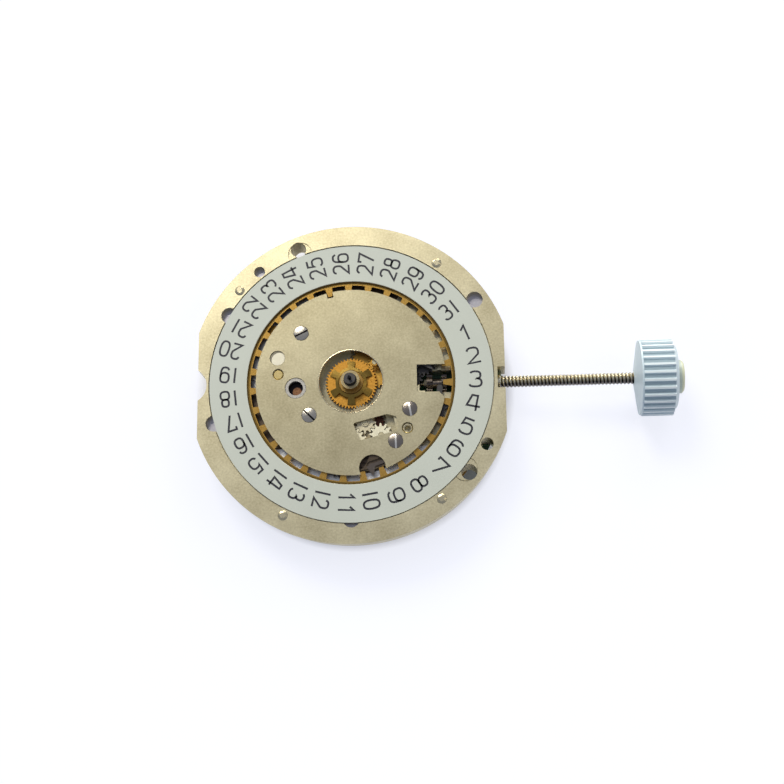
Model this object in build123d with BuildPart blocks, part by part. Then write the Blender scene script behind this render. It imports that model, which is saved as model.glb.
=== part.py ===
from build123d import *
import math
import os

os.makedirs("parts", exist_ok=True)

# The origin lies on the axis of the hands, in the plane that the dial rests on.
# +Z points to the dial, +X runs along the setting stem at 3 o'clock, +Y points to 12 o'clock.

# Main plate
flange_r = 13.0
flange_t = 0.45
case_step = 0.2
plate_t = 2.45
flat_depth = 0.75
bay_w = 2.5
bay_d = 0.7
stem_notch_w = 1.7
stem_notch_d = 0.6
land_lap = 0.4
land_drop = 0.22
track_gap = 0.08
trough_gap = 0.05
trough_room = 0.3
trough_d = 0.95
web_t = 0.27
post_r = 0.2
post_gap = 0.03
overrun = 0.6
foot_hole_r = 0.63
foot_hole_turns = (110.6, -39.4)
foot_hole_place_share = 0.918
foot_key_w = 0.5
foot_ring_r = 0.98
foot_ring_w = 0.07
foot_ring_d = 0.12
foot_ring_shift = 0.38
small_hole_r = 0.45
small_hole_turns = (128.2,)
wide_hole_r = 0.66
wide_hole_d = 0.6
wide_holes_shares = ((32.8, 0.915), (149.6, 0.875), (-163.9, 0.874), (-90.0, 0.85))
eye_hole_r = 0.5
eye_hole_share = (-26.7, 0.92)

# Polished pins round the rim
rim_pin_r = 0.4
rim_pin_t = 0.55
rim_pin_rise = 0.05
rim_pin_taper = 45.0
rim_pin_flat_taper = 70.0
rim_pin_turns = (53.9, 138.9, -116.7, -53.8)
rim_pin_place_share = 0.917

# Clips that hold the feet of a dial
clip_t = 0.16
clip_w = 0.2
clip_gap = 0.19
clip_reach = 0.62
clip_slot_w = 1.15

# Date ring
rim_w = 1.67
ring_drop = 0.03
ring_t = 0.18
ring_play = 0.08
paint_ledge_w = 0.23
ring_bevel = 0.07
collar_w = 0.22
tooth_l = 0.7
tooth_lap = 0.25
tooth_root_w = 0.62
tooth_tip_w = 0.36
ring_tooth_t = 0.11
ring_teeth = 31
ring_tooth_turn = -83.1
ring_run_gap = 0.02

# Plate that holds the date ring down
retainer_r = 7.6
retainer_t = 0.2
retainer_bore_r = 2.575
retainer_edge = 0.05
notch_x = 5.27
notch_y_low = -1.05
notch_y_high = 1.2
notch_flare = 0.6
bay_r = 1.05
bay_share = (-76.6, 0.952)
tab_w = 0.5
tab_d = 0.45
tab_turn = 102.8
window_l = 3.0
window_w = 1.5
window_slant = 0.45
window_turn = 14.0
window_corner = 0.35
window_share = (-61.8, 0.559)

# Screws of that plate
screw_head_r = 0.58
screw_head_t = 0.12
screw_shank_r = 0.25
screw_shank_l = 0.42
screw_hole_gap = 0.04
screw_slot_w = 0.15
screw_slot_d = 0.085
screw_spots_shares = ((134.2, 0.748, 25.0), (-141.1, 0.561, -45.0), (-26.9, 0.69, 100.0), (-54.5, 0.798, 92.0))

# Posts and tubes that show through that plate
disc_post_r = 0.58
disc_post_share = (160.6, 0.818)
brass_post_r = 0.42
brass_post_share = (172.9, 0.769)
bush_r = 0.82
bush_bore_r = 0.585
bush_t = 0.55
bush_share = (-174.2, 0.582)
eyelet_r = 0.42
eyelet_bore_r = 0.2
eyelet_t = 0.6
eyelet_share = (-41.2, 0.782)
post_hole_gap = 0.04
post_drop = 0.08
post_root = 0.3

# Hands and motion work
hour_teeth = 48
hour_module = 1 / 12
hour_disc_drop = 0.75
hour_disc_t = 0.2
hour_seat_r = 0.75
hour_seat_top = 0.45
hour_pipe_r = 0.95
hour_pipe_drop = 0.3
hour_run_gap = 0.03
cannon_r = 0.5
cannon_teeth = 12
cannon_leaf_lap = 0.04
minute_seat_r = 0.45
minute_seat_top = 0.95
minute_seat_l = 0.55
cannon_bore_gap = 0.03
seconds_arbor_r = 0.13
seconds_seat_r = 0.1
seconds_seat_l = 0.47
seconds_seat_top = 1.4
minute_teeth = 36
minute_pinion_teeth = 12
minute_disc_t = 0.2
minute_turn = 40.0
hub_r = 0.3
hub_top_drop = 0.3
level_gap = 0.1
wheel_room = 0.15

# Spring washer on the hour wheel
washer_t = 0.06
washer_in_r = 1.0
washer_r = 1.8
washer_rise = 0.32
washer_arms = 6
washer_arm_w = 0.5
washer_arm_flare = 0.34
washer_turn = 30.0
washer_ring_r = 1.25
washer_gap = 0.02

# Setting wheel and date corrector
setting_teeth = 20
setting_wheel_t = 0.22
setting_reach_x = 4.66
corrector_teeth = 22
corrector_module = 0.106
corrector_t = 0.17
corrector_level_gap = 0.03
corrector_place_r = 5.9
corrector_turn = 17.0
corrector_points = 4
corrector_tip_gap = 0.15
corrector_waist_r = 0.5

# Wheels that drive the date
date_idler_teeth = 36
date_idler_pinion_teeth = 12
date_idler_turn = -72.0
date_wheel_teeth = 32
date_wheel_t = 0.15
date_wheel_drop = 0.47
date_wheel_place_r = 5.55
date_wheel_turn = -98.0
date_pocket_gap = 0.06
date_wheel_room = 0.07
finger_t = 0.09
finger_r = 2.12
finger_w = 0.26
finger_hub_r = 0.55
finger_turn = 172.0
finger_gap = 0.02

# Small wheel whose mark shows in the window of the retaining plate
mark_teeth = 13
mark_t = 0.12
mark_turn = -38.0
mark_slot_w = 0.07
mark_slot_l = 0.32
mark_slot_d = 0.05
mark_slot_turn = 55.0
mark_slot_place_r = 0.62

# Spring that holds the date ring at each day
jumper_t = 0.1
jumper_w = 0.26
jumper_inset = 0.22
jumper_turn = -77.3
jumper_anchor_turn = -35.5
jumper_nose_l = 0.49
jumper_nose_w = 0.8
jumper_foot_r = 0.42
jumper_pin_r = 0.14
jumper_room = 0.22

# Setting stem
stem_drop = 1.65
stem_tip_x = 4.2
pilot_r = 0.18
pilot_end_x = 5.8
square_w = 0.56
square_end_x = 8.2
shank_r = 0.6
shank_end_x = 11.9
stem_groove_x = 8.8
stem_groove_w = 0.36
stem_groove_r = 0.3
thread_r = 0.475
stem_travel = 0.9
stem_run_gap = 0.03
pilot_wall_x = 4.05
slot_low_x = 5.45
slot_high_x = 8.5

# Crown
crown_x = 22.85
crown_face_r = 2.97
crown_face_t = 0.14
crown_face_cone = 0.4
crown_rib_r = 3.05
crown_groove_r = 2.83
crown_ribs = 30
crown_rib_l = 2.45
crown_end_r = 2.45
crown_end_t = 0.3
crown_boss_r = 1.33
crown_boss_t = 0.6
crown_boss_round = 0.15
crown_bore_l = 1.9
crown_fit = 0.01

# Sliding pinion
pinion_x = 6.0
pinion_l = 1.6
pinion_tip_r = 0.75
pinion_root_r = 0.6
pinion_neck_r = 0.4
pinion_groove_x = 6.45
pinion_groove_w = 0.75
pinion_teeth = 12
pinion_fit = 0.02

# Setting lever and yoke
lever_t = 0.2
lever_drop = 0.48
lever_floor_gap = 0.06
lever_arm = 2.0
lever_pin_r = 0.12
lever_pin_l = 0.52
lever_eye_r = 0.55
lever_nose_r = 0.3
lever_pivot_r = 0.28
lever_tail_l = 1.2
yoke_pivot_x = 6.84
yoke_pivot_y = -2.6
yoke_pin_x = 7.06
yoke_pin_y = -0.6
yoke_pin_l = 0.95
yoke_nose_r = 0.22
yoke_tail_x = 8.3
yoke_tail_y = -1.5
yoke_spring_w = 0.12
yoke_spring_t = 0.14
yoke_spring_foot_x = 9.9
yoke_spring_foot_y = -2.5
yoke_spring_foot_r = 0.45
lever_pocket_low_x = 5.9
lever_pocket_high_x = 10.9
lever_pocket_low_y = -3.15
lever_pocket_high_y = 2.75

# Train
train_module = 0.07
wheel_t = 0.12
train_gap = 0.09
roof_gap = 0.06
leaf_lap = 0.03
train_room = 0.2
centre_teeth = 64
third_pinion_teeth = 8
third_teeth = 60
third_turn = -60.0
seconds_pinion_teeth = 8
seconds_teeth = 60
idler_pinion_teeth = 12
idler_teeth = 48
idler_turn = -125.0
rotor_pinion_teeth = 8
rotor_turn = -140.0
arbor_r = 0.12
pivot_r = 0.08
pivot_gap = 0.02
pivot_l = 0.16
magnet_r = 0.55
magnet_t = 0.4

# Motor
stator_t = 0.35
stator_drop = 1.85
stator_bore_gap = 0.15
stator_eye_r = 1.15
stator_leg_w = 1.2
stator_foot_r = 0.85
coil_turn = -128.3
coil_place_r = 9.68
coil_l = 5.5
coil_foot_reach = 1.65
coil_w = 1.6
coil_t = 1.3
coil_corner = 0.4
coil_core_w = 0.8
coil_core_t = 0.22
coil_room = 0.1
coil_flange_t = 0.12
coil_flange_grow = 0.12
motor_screw_r = 0.5
motor_screw_t = 0.2
motor_shank_r = 0.22
motor_shank_l = 0.5

# Battery and its contacts
battery_r = 4.75
battery_t = 2.05
battery_drop = 0.88
battery_x = -6.3
battery_y = 4.3
battery_room = 0.1
battery_step_r = 4.1
battery_step_t = 0.2
battery_round = 0.15
well_drop = 0.68
contact_t = 0.08
contact_w = 0.7
contact_l = 4.4
contact_lift = 0.1
clamp_t = 0.12
clamp_w = 1.5
clamp_pad_r = 0.85
clamp_gap = 0.02
clamp_pads_shares = ((95.9, 0.75), (-170.1, 0.85))

# Circuit board with its parts
board_t = 0.2
board_in_r = 5.4
board_inset = 1.0
board_low_turn = -56.0
board_high_turn = 88.0
chip_w = 2.3
chip_t = 0.4
chip_corner = 0.5
chip_share = (24.0, 0.67)
can_r = 0.75
can_l = 5.0
can_turn = 66.0
can_place_r = 9.3
can_drop = 2.12
can_room = 0.1
can_lead_r = 0.1
can_lead_l = 0.7
can_lead_gap = 0.35
board_screw_r = 0.6
board_screw_t = 0.22
board_shank_r = 0.25
board_shank_l = 0.7
board_screw_shares = ((44.0, 0.86), (-47.0, 0.84), (-16.0, 0.6))

# Train bridge
bridge_t = 0.33
bridge_corner_r = 0.95
bridge_screw_shares = ((92.0, 0.24), (-10.0, 0.331), (-165.0, 0.42))
bridge_eye_r = 0.75
bridge_screw_r = 0.55
bridge_screw_sink = 0.14
bridge_shank_r = 0.25
bridge_shank_l = 0.8
jewel_r = 0.38
jewel_t = 0.2
jewel_sink = 0.06

# Tooth outlines, as shares of the module and of the pitch
tip_height_share = 0.85
root_depth_share = 1.1
root_half_share = 0.33
tip_half_share = 0.12
mesh_half_share = 0.5


def spot(turn, radius):
    """Point at a turn in degrees and a radius from the axis of the hands."""
    return (radius * math.cos(math.radians(turn)), radius * math.sin(math.radians(turn)))


def tooth_points(teeth, module, turn):
    """Corners of a toothed outline with one tooth centred at the turn."""
    pitch_r = teeth * module / 2
    root_r = pitch_r - root_depth_share * module
    tip_r = pitch_r + tip_height_share * module
    points = []
    for i in range(teeth):
        for share, radius in (
            (-root_half_share, root_r),
            (-tip_half_share, tip_r),
            (tip_half_share, tip_r),
            (root_half_share, root_r),
        ):
            points.append(spot(turn + (i + share) * 360 / teeth, radius))
    return points


def meshed(teeth, turn, next_teeth, line_turn):
    """Turn of the next wheel, so that its gap meets a tooth of the first on the line of centres."""
    phase = (line_turn - turn) * teeth / 360
    return line_turn + 180 - (mesh_half_share - phase) * 360 / next_teeth


def disc(radius, low, high, at=(0, 0), mode=Mode.ADD):
    """Cylinder along Z, added to or cut from the part that is open."""
    with BuildSketch(Plane.XY.offset(low), mode=Mode.PRIVATE) as face:
        with Locations(at):
            Circle(radius)
    extrude(face.sketch, amount=high - low, mode=mode)


def gear(teeth, module, low, high, at=(0, 0), turn=0.0):
    """Toothed disc along Z, added to the part that is open."""
    with BuildSketch(Plane.XY.offset(low), mode=Mode.PRIVATE) as face:
        with Locations(at):
            Polygon(*tooth_points(teeth, module, turn), align=None)
    extrude(face.sketch, amount=high - low)


def rod(radius, low_x, high_x, mode=Mode.ADD):
    """Cylinder along the stem, added to or cut from the part that is open."""
    with BuildSketch(Plane.YZ.offset(low_x), mode=Mode.PRIVATE) as face:
        with Locations((0, stem_z)):
            Circle(radius)
    extrude(face.sketch, amount=high_x - low_x, mode=mode)


def web(points, radius, low, high, mode=Mode.ADD):
    """Flat plate round a row of eyes of one radius, each joined to the next by a strap."""
    with BuildSketch(Plane.XY.offset(low), mode=Mode.PRIVATE) as face:
        for first, second in zip(points, points[1:]):
            dx = second[0] - first[0]
            dy = second[1] - first[1]
            with Locations(((first[0] + second[0]) / 2, (first[1] + second[1]) / 2)):
                Rectangle(math.hypot(dx, dy), 2 * radius, rotation=math.degrees(math.atan2(dy, dx)))
        with Locations(*points):
            Circle(radius)
    extrude(face.sketch, amount=high - low, mode=mode)


def finish(part, name):
    """Names the piece and writes it."""
    part.label = name
    export_step(part, f"parts/{name}.step")


# Radii that follow the rim and the retaining plate
case_r = flange_r - case_step
flat_x = flange_r - flat_depth
ring_r = flange_r - rim_w
board_r = flange_r - board_inset
land_r = retainer_r - land_lap
tooth_tip_r = retainer_r - tooth_lap
tooth_root_r = tooth_tip_r + tooth_l
paint_in_r = tooth_root_r + paint_ledge_w
collar_r = paint_in_r + collar_w
trough_in_r = land_r + trough_gap
trough_r = tooth_root_r + trough_room
jumper_r = land_r - jumper_inset
jumper_nose_r = tooth_tip_r + jumper_nose_l
corrector_tip_r = tooth_tip_r - corrector_place_r - corrector_tip_gap

# Levels, from the dial side down
ring_z1 = -ring_drop
ring_z0 = ring_z1 - ring_t
retainer_z1 = -land_drop + retainer_t
land_z = -land_drop
ring_tooth_z1 = land_z - ring_run_gap
ring_tooth_z0 = ring_tooth_z1 - ring_tooth_t
track_z = ring_tooth_z0 - ring_run_gap
date_wheel_z1 = -date_wheel_drop
date_wheel_z0 = date_wheel_z1 - date_wheel_t
date_floor_z = date_wheel_z0 - date_pocket_gap
mark_z1 = date_wheel_z1
mark_z0 = mark_z1 - mark_t
hour_z1 = -hour_disc_drop
hour_z0 = hour_z1 - hour_disc_t
hour_floor_z = hour_z0 - level_gap
minute_z1 = hour_z0 - level_gap
minute_z0 = minute_z1 - minute_disc_t
minute_floor_z = minute_z0 - level_gap
roof_z = minute_floor_z - web_t
centre_z1 = roof_z - roof_gap
centre_z0 = centre_z1 - wheel_t
third_z1 = centre_z0 - train_gap
third_z0 = third_z1 - wheel_t
seconds_z1 = third_z0 - train_gap
seconds_z0 = seconds_z1 - wheel_t
idler_z1 = seconds_z0 - train_gap
idler_z0 = idler_z1 - wheel_t
idler_roof_z = seconds_z1 + train_room
bridge_z1 = idler_z0 - train_gap
bridge_z0 = bridge_z1 - bridge_t
back_z = -plate_t
stem_z = -stem_drop
lever_z1 = -lever_drop
lever_z0 = lever_z1 - lever_t
lever_floor_z = lever_z0 - lever_floor_gap
setting_z1 = minute_z0 + setting_wheel_t
corrector_z0 = setting_z1 + corrector_level_gap
corrector_z1 = corrector_z0 + corrector_t
battery_z1 = -battery_drop
battery_z0 = battery_z1 - battery_t
clamp_z1 = battery_z0 - clamp_gap
clamp_z0 = clamp_z1 - clamp_t
board_z0 = back_z - board_t
hub_z1 = -hub_top_drop
stator_z1 = -stator_drop
stator_z0 = stator_z1 - stator_t

# Places of the wheels, from their teeth
minute_distance = (hour_teeth + minute_pinion_teeth) * hour_module / 2
cannon_module = 2 * minute_distance / (cannon_teeth + minute_teeth)
minute_at = spot(minute_turn, minute_distance)
window_at = spot(window_share[0], window_share[1] * retainer_r)
setting_distance = (minute_teeth + setting_teeth) * cannon_module / 2
setting_dx = setting_reach_x - minute_at[0]
setting_at = (setting_reach_x, minute_at[1] - math.sqrt(setting_distance**2 - setting_dx**2))
setting_line = math.degrees(math.atan2(setting_at[1] - minute_at[1], setting_dx))
date_idler_distance = (hour_teeth + date_idler_teeth) * hour_module / 2
date_idler_at = spot(date_idler_turn, date_idler_distance)
date_wheel_at = spot(date_wheel_turn, date_wheel_place_r)
date_dx = date_wheel_at[0] - date_idler_at[0]
date_dy = date_wheel_at[1] - date_idler_at[1]
date_line = math.degrees(math.atan2(date_dy, date_dx))
date_module = 2 * math.hypot(date_dx, date_dy) / (date_idler_pinion_teeth + date_wheel_teeth)
mark_distance = (date_idler_pinion_teeth + mark_teeth) * date_module / 2
mark_step = spot(mark_turn, mark_distance)
mark_at = (date_idler_at[0] + mark_step[0], date_idler_at[1] + mark_step[1])
corrector_at = spot(corrector_turn, corrector_place_r)
third_distance = (seconds_pinion_teeth + third_teeth) * train_module / 2
third_at = spot(third_turn, third_distance)
centre_module = 2 * third_distance / (third_pinion_teeth + centre_teeth)
idler_distance = (seconds_teeth + idler_pinion_teeth) * train_module / 2
idler_at = spot(idler_turn, idler_distance)
rotor_distance = (idler_teeth + rotor_pinion_teeth) * train_module / 2
rotor_step = spot(rotor_turn, rotor_distance)
rotor_at = (idler_at[0] + rotor_step[0], idler_at[1] + rotor_step[1])
battery_at = (battery_x, battery_y)

# Turns of the wheels, so that the teeth meet at rest
minute_phase = meshed(cannon_teeth, 0.0, minute_teeth, minute_turn)
setting_phase = meshed(minute_teeth, minute_phase, setting_teeth, setting_line)
hour_phase = meshed(minute_pinion_teeth, 0.0, hour_teeth, minute_turn + 180)
date_idler_phase = meshed(hour_teeth, hour_phase, date_idler_teeth, date_idler_turn)
date_wheel_phase = meshed(date_idler_pinion_teeth, 0.0, date_wheel_teeth, date_line)
mark_phase = meshed(date_idler_pinion_teeth, 0.0, mark_teeth, mark_turn)
third_phase = meshed(seconds_pinion_teeth, 0.0, third_teeth, third_turn)
centre_phase = meshed(third_pinion_teeth, 0.0, centre_teeth, third_turn + 180)
seconds_phase = meshed(idler_pinion_teeth, 0.0, seconds_teeth, idler_turn + 180)
idler_phase = meshed(rotor_pinion_teeth, 0.0, idler_teeth, rotor_turn + 180)

# Places of the motor
coil_span = coil_l + 2 * coil_foot_reach
coil_mid = spot(coil_turn, coil_place_r)
coil_line = coil_turn + 90
coil_half = spot(coil_line, coil_span / 2)
coil_foot_a = (coil_mid[0] - coil_half[0], coil_mid[1] - coil_half[1])
coil_foot_b = (coil_mid[0] + coil_half[0], coil_mid[1] + coil_half[1])
coil_feet = (coil_foot_a, coil_foot_b)
coil_z = (track_z - track_gap + clamp_z0) / 2
coil_z0 = clamp_z0 + coil_room
coil_z1 = coil_z0 + coil_t
coil_core_z0 = stator_z0 - coil_core_t

# Places of the lever, whose pin swings evenly about the middle of its travel
lever_half_turn = math.degrees(math.asin(stem_travel / 2 / lever_arm))
lever_at = (stem_groove_x + stem_travel / 2, lever_arm * math.cos(math.radians(lever_half_turn)))
lever_pin_at = (stem_groove_x, 0)
yoke_at = (yoke_pivot_x, yoke_pivot_y)
yoke_pin_at = (yoke_pin_x, yoke_pin_y)
yoke_tail_at = (yoke_tail_x, yoke_tail_y)
yoke_spring_foot_at = (yoke_spring_foot_x, yoke_spring_foot_y)

# Places of the fasteners and posts
retainer_screw_spots = [(spot(turn, share * retainer_r), slot) for turn, share, slot in screw_spots_shares]
disc_post_at = spot(disc_post_share[0], disc_post_share[1] * retainer_r)
brass_post_at = spot(brass_post_share[0], brass_post_share[1] * retainer_r)
bush_at = spot(bush_share[0], bush_share[1] * retainer_r)
eyelet_at = spot(eyelet_share[0], eyelet_share[1] * retainer_r)
rim_pin_spots = [spot(turn, rim_pin_place_share * flange_r) for turn in rim_pin_turns]
foot_hole_spots = [spot(turn, foot_hole_place_share * flange_r) for turn in foot_hole_turns]
clamp_pads = [spot(turn, share * flange_r) for turn, share in clamp_pads_shares]
board_screw_spots = [spot(turn, share * flange_r) for turn, share in board_screw_shares]
bridge_screw_spots = [spot(turn, share * flange_r) for turn, share in bridge_screw_shares]
chip_at = spot(chip_share[0], chip_share[1] * flange_r)
can_at = spot(can_turn, can_place_r)
jumper_foot_at = spot(jumper_anchor_turn, jumper_r)
hour_wheel_r = (hour_teeth / 2 + tip_height_share) * hour_module
minute_wheel_r = (minute_teeth / 2 + tip_height_share) * cannon_module
date_idler_r = (date_idler_teeth / 2 + tip_height_share) * hour_module
date_wheel_r = (date_wheel_teeth / 2 + tip_height_share) * date_module
mark_wheel_r = (mark_teeth / 2 + tip_height_share) * date_module
setting_wheel_r = (setting_teeth / 2 + tip_height_share) * cannon_module
centre_wheel_r = (centre_teeth / 2 + tip_height_share) * centre_module
third_wheel_r = (third_teeth / 2 + tip_height_share) * train_module
seconds_wheel_r = (seconds_teeth / 2 + tip_height_share) * train_module
idler_wheel_r = (idler_teeth / 2 + tip_height_share) * train_module
corrector_wheel_r = (corrector_teeth / 2 + tip_height_share) * corrector_module

# Main plate: turned brass, nickel plated, milled from both sides
with BuildPart() as main_plate:
    with BuildSketch(Plane.XY):
        Circle(flange_r)
        Rectangle(2 * flat_x, 2 * flange_r, mode=Mode.INTERSECT)
    extrude(amount=-flange_t)
    with BuildSketch(Plane.XY.offset(-flange_t)):
        Circle(case_r)
        Rectangle(2 * flat_x, 2 * case_r, mode=Mode.INTERSECT)
    extrude(amount=flange_t - plate_t)
    # Round bay at 9 o'clock and square notch for the stem at 3 o'clock
    with BuildSketch(Plane.XY):
        bay_round = (bay_w**2 / 4 + bay_d**2) / (2 * bay_d)
        with Locations((-flat_x + bay_d - bay_round, 0)):
            Circle(bay_round)
        with Locations((flat_x, 0)):
            Rectangle(2 * stem_notch_d, stem_notch_w)
    extrude(amount=-plate_t, mode=Mode.SUBTRACT)
    # Track of the date ring round the land that carries the retaining plate
    disc(ring_r + track_gap, land_z, overrun, mode=Mode.SUBTRACT)
    with BuildSketch(Plane.XY.offset(track_z)):
        Circle(ring_r + track_gap)
        Circle(land_r, mode=Mode.SUBTRACT)
    extrude(amount=overrun, mode=Mode.SUBTRACT)
    with BuildSketch(Plane.XY.offset(-trough_d)):
        Circle(trough_r)
        Circle(trough_in_r, mode=Mode.SUBTRACT)
    extrude(amount=trough_d, mode=Mode.SUBTRACT)
    # Pockets of the motion work and of the date wheels
    disc(retainer_bore_r - retainer_edge, hour_floor_z, overrun, mode=Mode.SUBTRACT)
    disc(date_idler_r + wheel_room, hour_floor_z, overrun, date_idler_at, Mode.SUBTRACT)
    disc(minute_wheel_r + wheel_room, minute_floor_z, overrun, minute_at, Mode.SUBTRACT)
    disc(cannon_r + 2 * wheel_room + cannon_module, minute_floor_z, overrun, mode=Mode.SUBTRACT)
    disc(setting_wheel_r + wheel_room, minute_floor_z, overrun, setting_at, Mode.SUBTRACT)
    disc(date_wheel_r + date_wheel_room, date_floor_z, overrun, date_wheel_at, Mode.SUBTRACT)
    disc(mark_wheel_r + date_wheel_room, mark_z0 - date_pocket_gap, overrun, mark_at, Mode.SUBTRACT)
    with BuildSketch(Plane.XY.offset(hour_z1)):
        with Locations(Location(window_at, window_turn)):
            Rectangle(window_l, window_w)
    extrude(amount=overrun, mode=Mode.SUBTRACT)
    disc(corrector_tip_r + wheel_room, corrector_z0 - corrector_level_gap, overrun, corrector_at, Mode.SUBTRACT)
    # Groove of the date jumper
    with BuildSketch(Plane.XY.offset(track_z)):
        with BuildLine():
            arc = CenterArc((0, 0), jumper_r, jumper_turn, jumper_anchor_turn - jumper_turn)
            offset(arc, jumper_room + jumper_w / 2)
        make_face()
        with Locations(jumper_foot_at):
            Circle(jumper_foot_r + jumper_room)
    extrude(amount=overrun, mode=Mode.SUBTRACT)
    # Pocket of the lever and the yoke, and the slot of the sliding pinion
    with BuildSketch(Plane.XY.offset(lever_floor_z)):
        pocket_l = lever_pocket_high_x - lever_pocket_low_x
        pocket_w = lever_pocket_high_y - lever_pocket_low_y
        with Locations((lever_pocket_low_x, lever_pocket_low_y)):
            Rectangle(pocket_l, pocket_w, align=(Align.MIN, Align.MIN))
    extrude(amount=overrun, mode=Mode.SUBTRACT)
    with BuildSketch(Plane.XY.offset(-plate_t)):
        with Locations((slot_low_x, 0)):
            Rectangle(slot_high_x - slot_low_x, 2 * (pinion_tip_r + wheel_room), align=(Align.MIN, Align.CENTER))
    extrude(amount=plate_t, mode=Mode.SUBTRACT)
    rod(shank_r + stem_run_gap, slot_high_x - overrun, flat_x + overrun, Mode.SUBTRACT)
    with BuildSketch(Plane.XY.offset(stem_z)):
        with Locations((slot_high_x - overrun / 2, 0)):
            pin_path = stem_groove_x + stem_travel + 2 * lever_pin_r - slot_high_x
            Rectangle(pin_path + overrun, 3 * lever_nose_r, align=(Align.MIN, Align.CENTER))
    extrude(amount=plate_t, mode=Mode.SUBTRACT)
    # Recesses of the train, the motor and the battery, from the back
    for wheel_r, at, top in (
        (centre_wheel_r, (0, 0), roof_z),
        (seconds_wheel_r, (0, 0), roof_z),
        (third_wheel_r, third_at, roof_z),
        (idler_wheel_r, idler_at, idler_roof_z),
        (magnet_r, rotor_at, roof_z),
    ):
        disc(wheel_r + train_room, back_z - overrun, top, at, Mode.SUBTRACT)
    web((coil_foot_a, rotor_at, coil_foot_b), stator_leg_w / 2 + coil_room, back_z - overrun, stator_z1, Mode.SUBTRACT)
    disc(stator_eye_r + coil_room, back_z - overrun, stator_z1, rotor_at, Mode.SUBTRACT)
    for foot in coil_feet:
        disc(stator_foot_r + coil_room, back_z - overrun, stator_z1, foot, Mode.SUBTRACT)
    with BuildSketch(Plane.XY.offset(coil_z1 + coil_room)):
        with Locations(coil_mid):
            coil_slot_l = coil_l + 2 * (coil_flange_t + coil_room)
            coil_slot_w = coil_w + 2 * (coil_flange_grow + coil_room)
            Rectangle(coil_slot_l, coil_slot_w, rotation=coil_line)
            Rectangle(coil_span, coil_core_w + 2 * coil_room, rotation=coil_line)
    extrude(amount=-plate_t, mode=Mode.SUBTRACT)
    disc(battery_r + battery_room, back_z - overrun, -well_drop, battery_at, Mode.SUBTRACT)
    with BuildSketch(Plane.XY.offset(back_z)):
        with Locations(can_at):
            can_slot_l = can_l + can_lead_l + 2 * can_room
            Rectangle(can_slot_l, 2 * (can_r + can_room), rotation=can_turn + 90)
    extrude(amount=can_r + can_room - can_drop - back_z, mode=Mode.SUBTRACT)
    # Holes in the rim
    for turn, place in zip(foot_hole_turns, foot_hole_spots):
        disc(foot_hole_r, back_z - overrun, overrun, place, Mode.SUBTRACT)
        with BuildSketch(Plane.XY.offset(-wide_hole_d)):
            with Locations(Location(place, turn)):
                Rectangle(2 * foot_hole_r, foot_key_w, align=(Align.MAX, Align.CENTER))
        extrude(amount=overrun + wide_hole_d, mode=Mode.SUBTRACT)
        with BuildSketch(Plane.XY.offset(-foot_ring_d)):
            with Locations(Location(place, turn)):
                with Locations((-foot_ring_shift, 0)):
                    Circle(foot_ring_r)
                    Circle(foot_ring_r - foot_ring_w, mode=Mode.SUBTRACT)
        extrude(amount=overrun, mode=Mode.SUBTRACT)
    for turn in small_hole_turns:
        disc(small_hole_r, -wide_hole_d, overrun, spot(turn, foot_hole_place_share * flange_r), Mode.SUBTRACT)
    for turn, share in wide_holes_shares:
        disc(wide_hole_r, -wide_hole_d, overrun, spot(turn, share * flange_r), Mode.SUBTRACT)
    disc(eye_hole_r, back_z - overrun, overrun, spot(eye_hole_share[0], eye_hole_share[1] * flange_r), Mode.SUBTRACT)
    for place in rim_pin_spots:
        disc(rim_pin_r, -rim_pin_t, overrun, place, Mode.SUBTRACT)
    # Seats of the posts, the bush and the screws
    disc(disc_post_r, land_z - post_root, overrun, disc_post_at, Mode.SUBTRACT)
    disc(brass_post_r, land_z - post_root, overrun, brass_post_at, Mode.SUBTRACT)
    disc(bush_r, land_z - bush_t, overrun, bush_at, Mode.SUBTRACT)
    disc(eyelet_r, land_z - eyelet_t, overrun, eyelet_at, Mode.SUBTRACT)
    for place, slot in retainer_screw_spots:
        disc(screw_shank_r, -land_drop - screw_shank_l, overrun, place, Mode.SUBTRACT)
    # Bores of the arbors in the web between motion work and train
    disc(cannon_r + hour_run_gap, roof_z - overrun / 2, minute_floor_z + overrun / 2, mode=Mode.SUBTRACT)
    for at in (third_at, rotor_at):
        disc(pivot_r + pivot_gap, roof_z - overrun / 2, roof_z + pivot_l, at, Mode.SUBTRACT)
    disc(arbor_r + pivot_gap, idler_roof_z - overrun, roof_z, idler_at, Mode.SUBTRACT)
    disc(pivot_r + pivot_gap, roof_z, roof_z + pivot_l, idler_at, Mode.SUBTRACT)
    # Posts on which the wheels and levers turn
    disc(post_r, minute_floor_z, hub_z1, minute_at)
    disc(post_r, minute_floor_z, setting_z1 - corrector_level_gap, setting_at)
    disc(post_r, hour_floor_z, hub_z1, date_idler_at)
    disc(post_r, date_floor_z, date_wheel_z1 + finger_gap, date_wheel_at)
    disc(post_r, hour_floor_z, mark_z1 + finger_gap, mark_at)
    disc(post_r, corrector_z0 - corrector_level_gap, hub_z1, corrector_at)
    disc(lever_pivot_r, lever_floor_z, lever_z1 + post_gap, lever_at)
    disc(lever_pivot_r, lever_floor_z, lever_z1 + post_gap, yoke_at)
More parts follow.
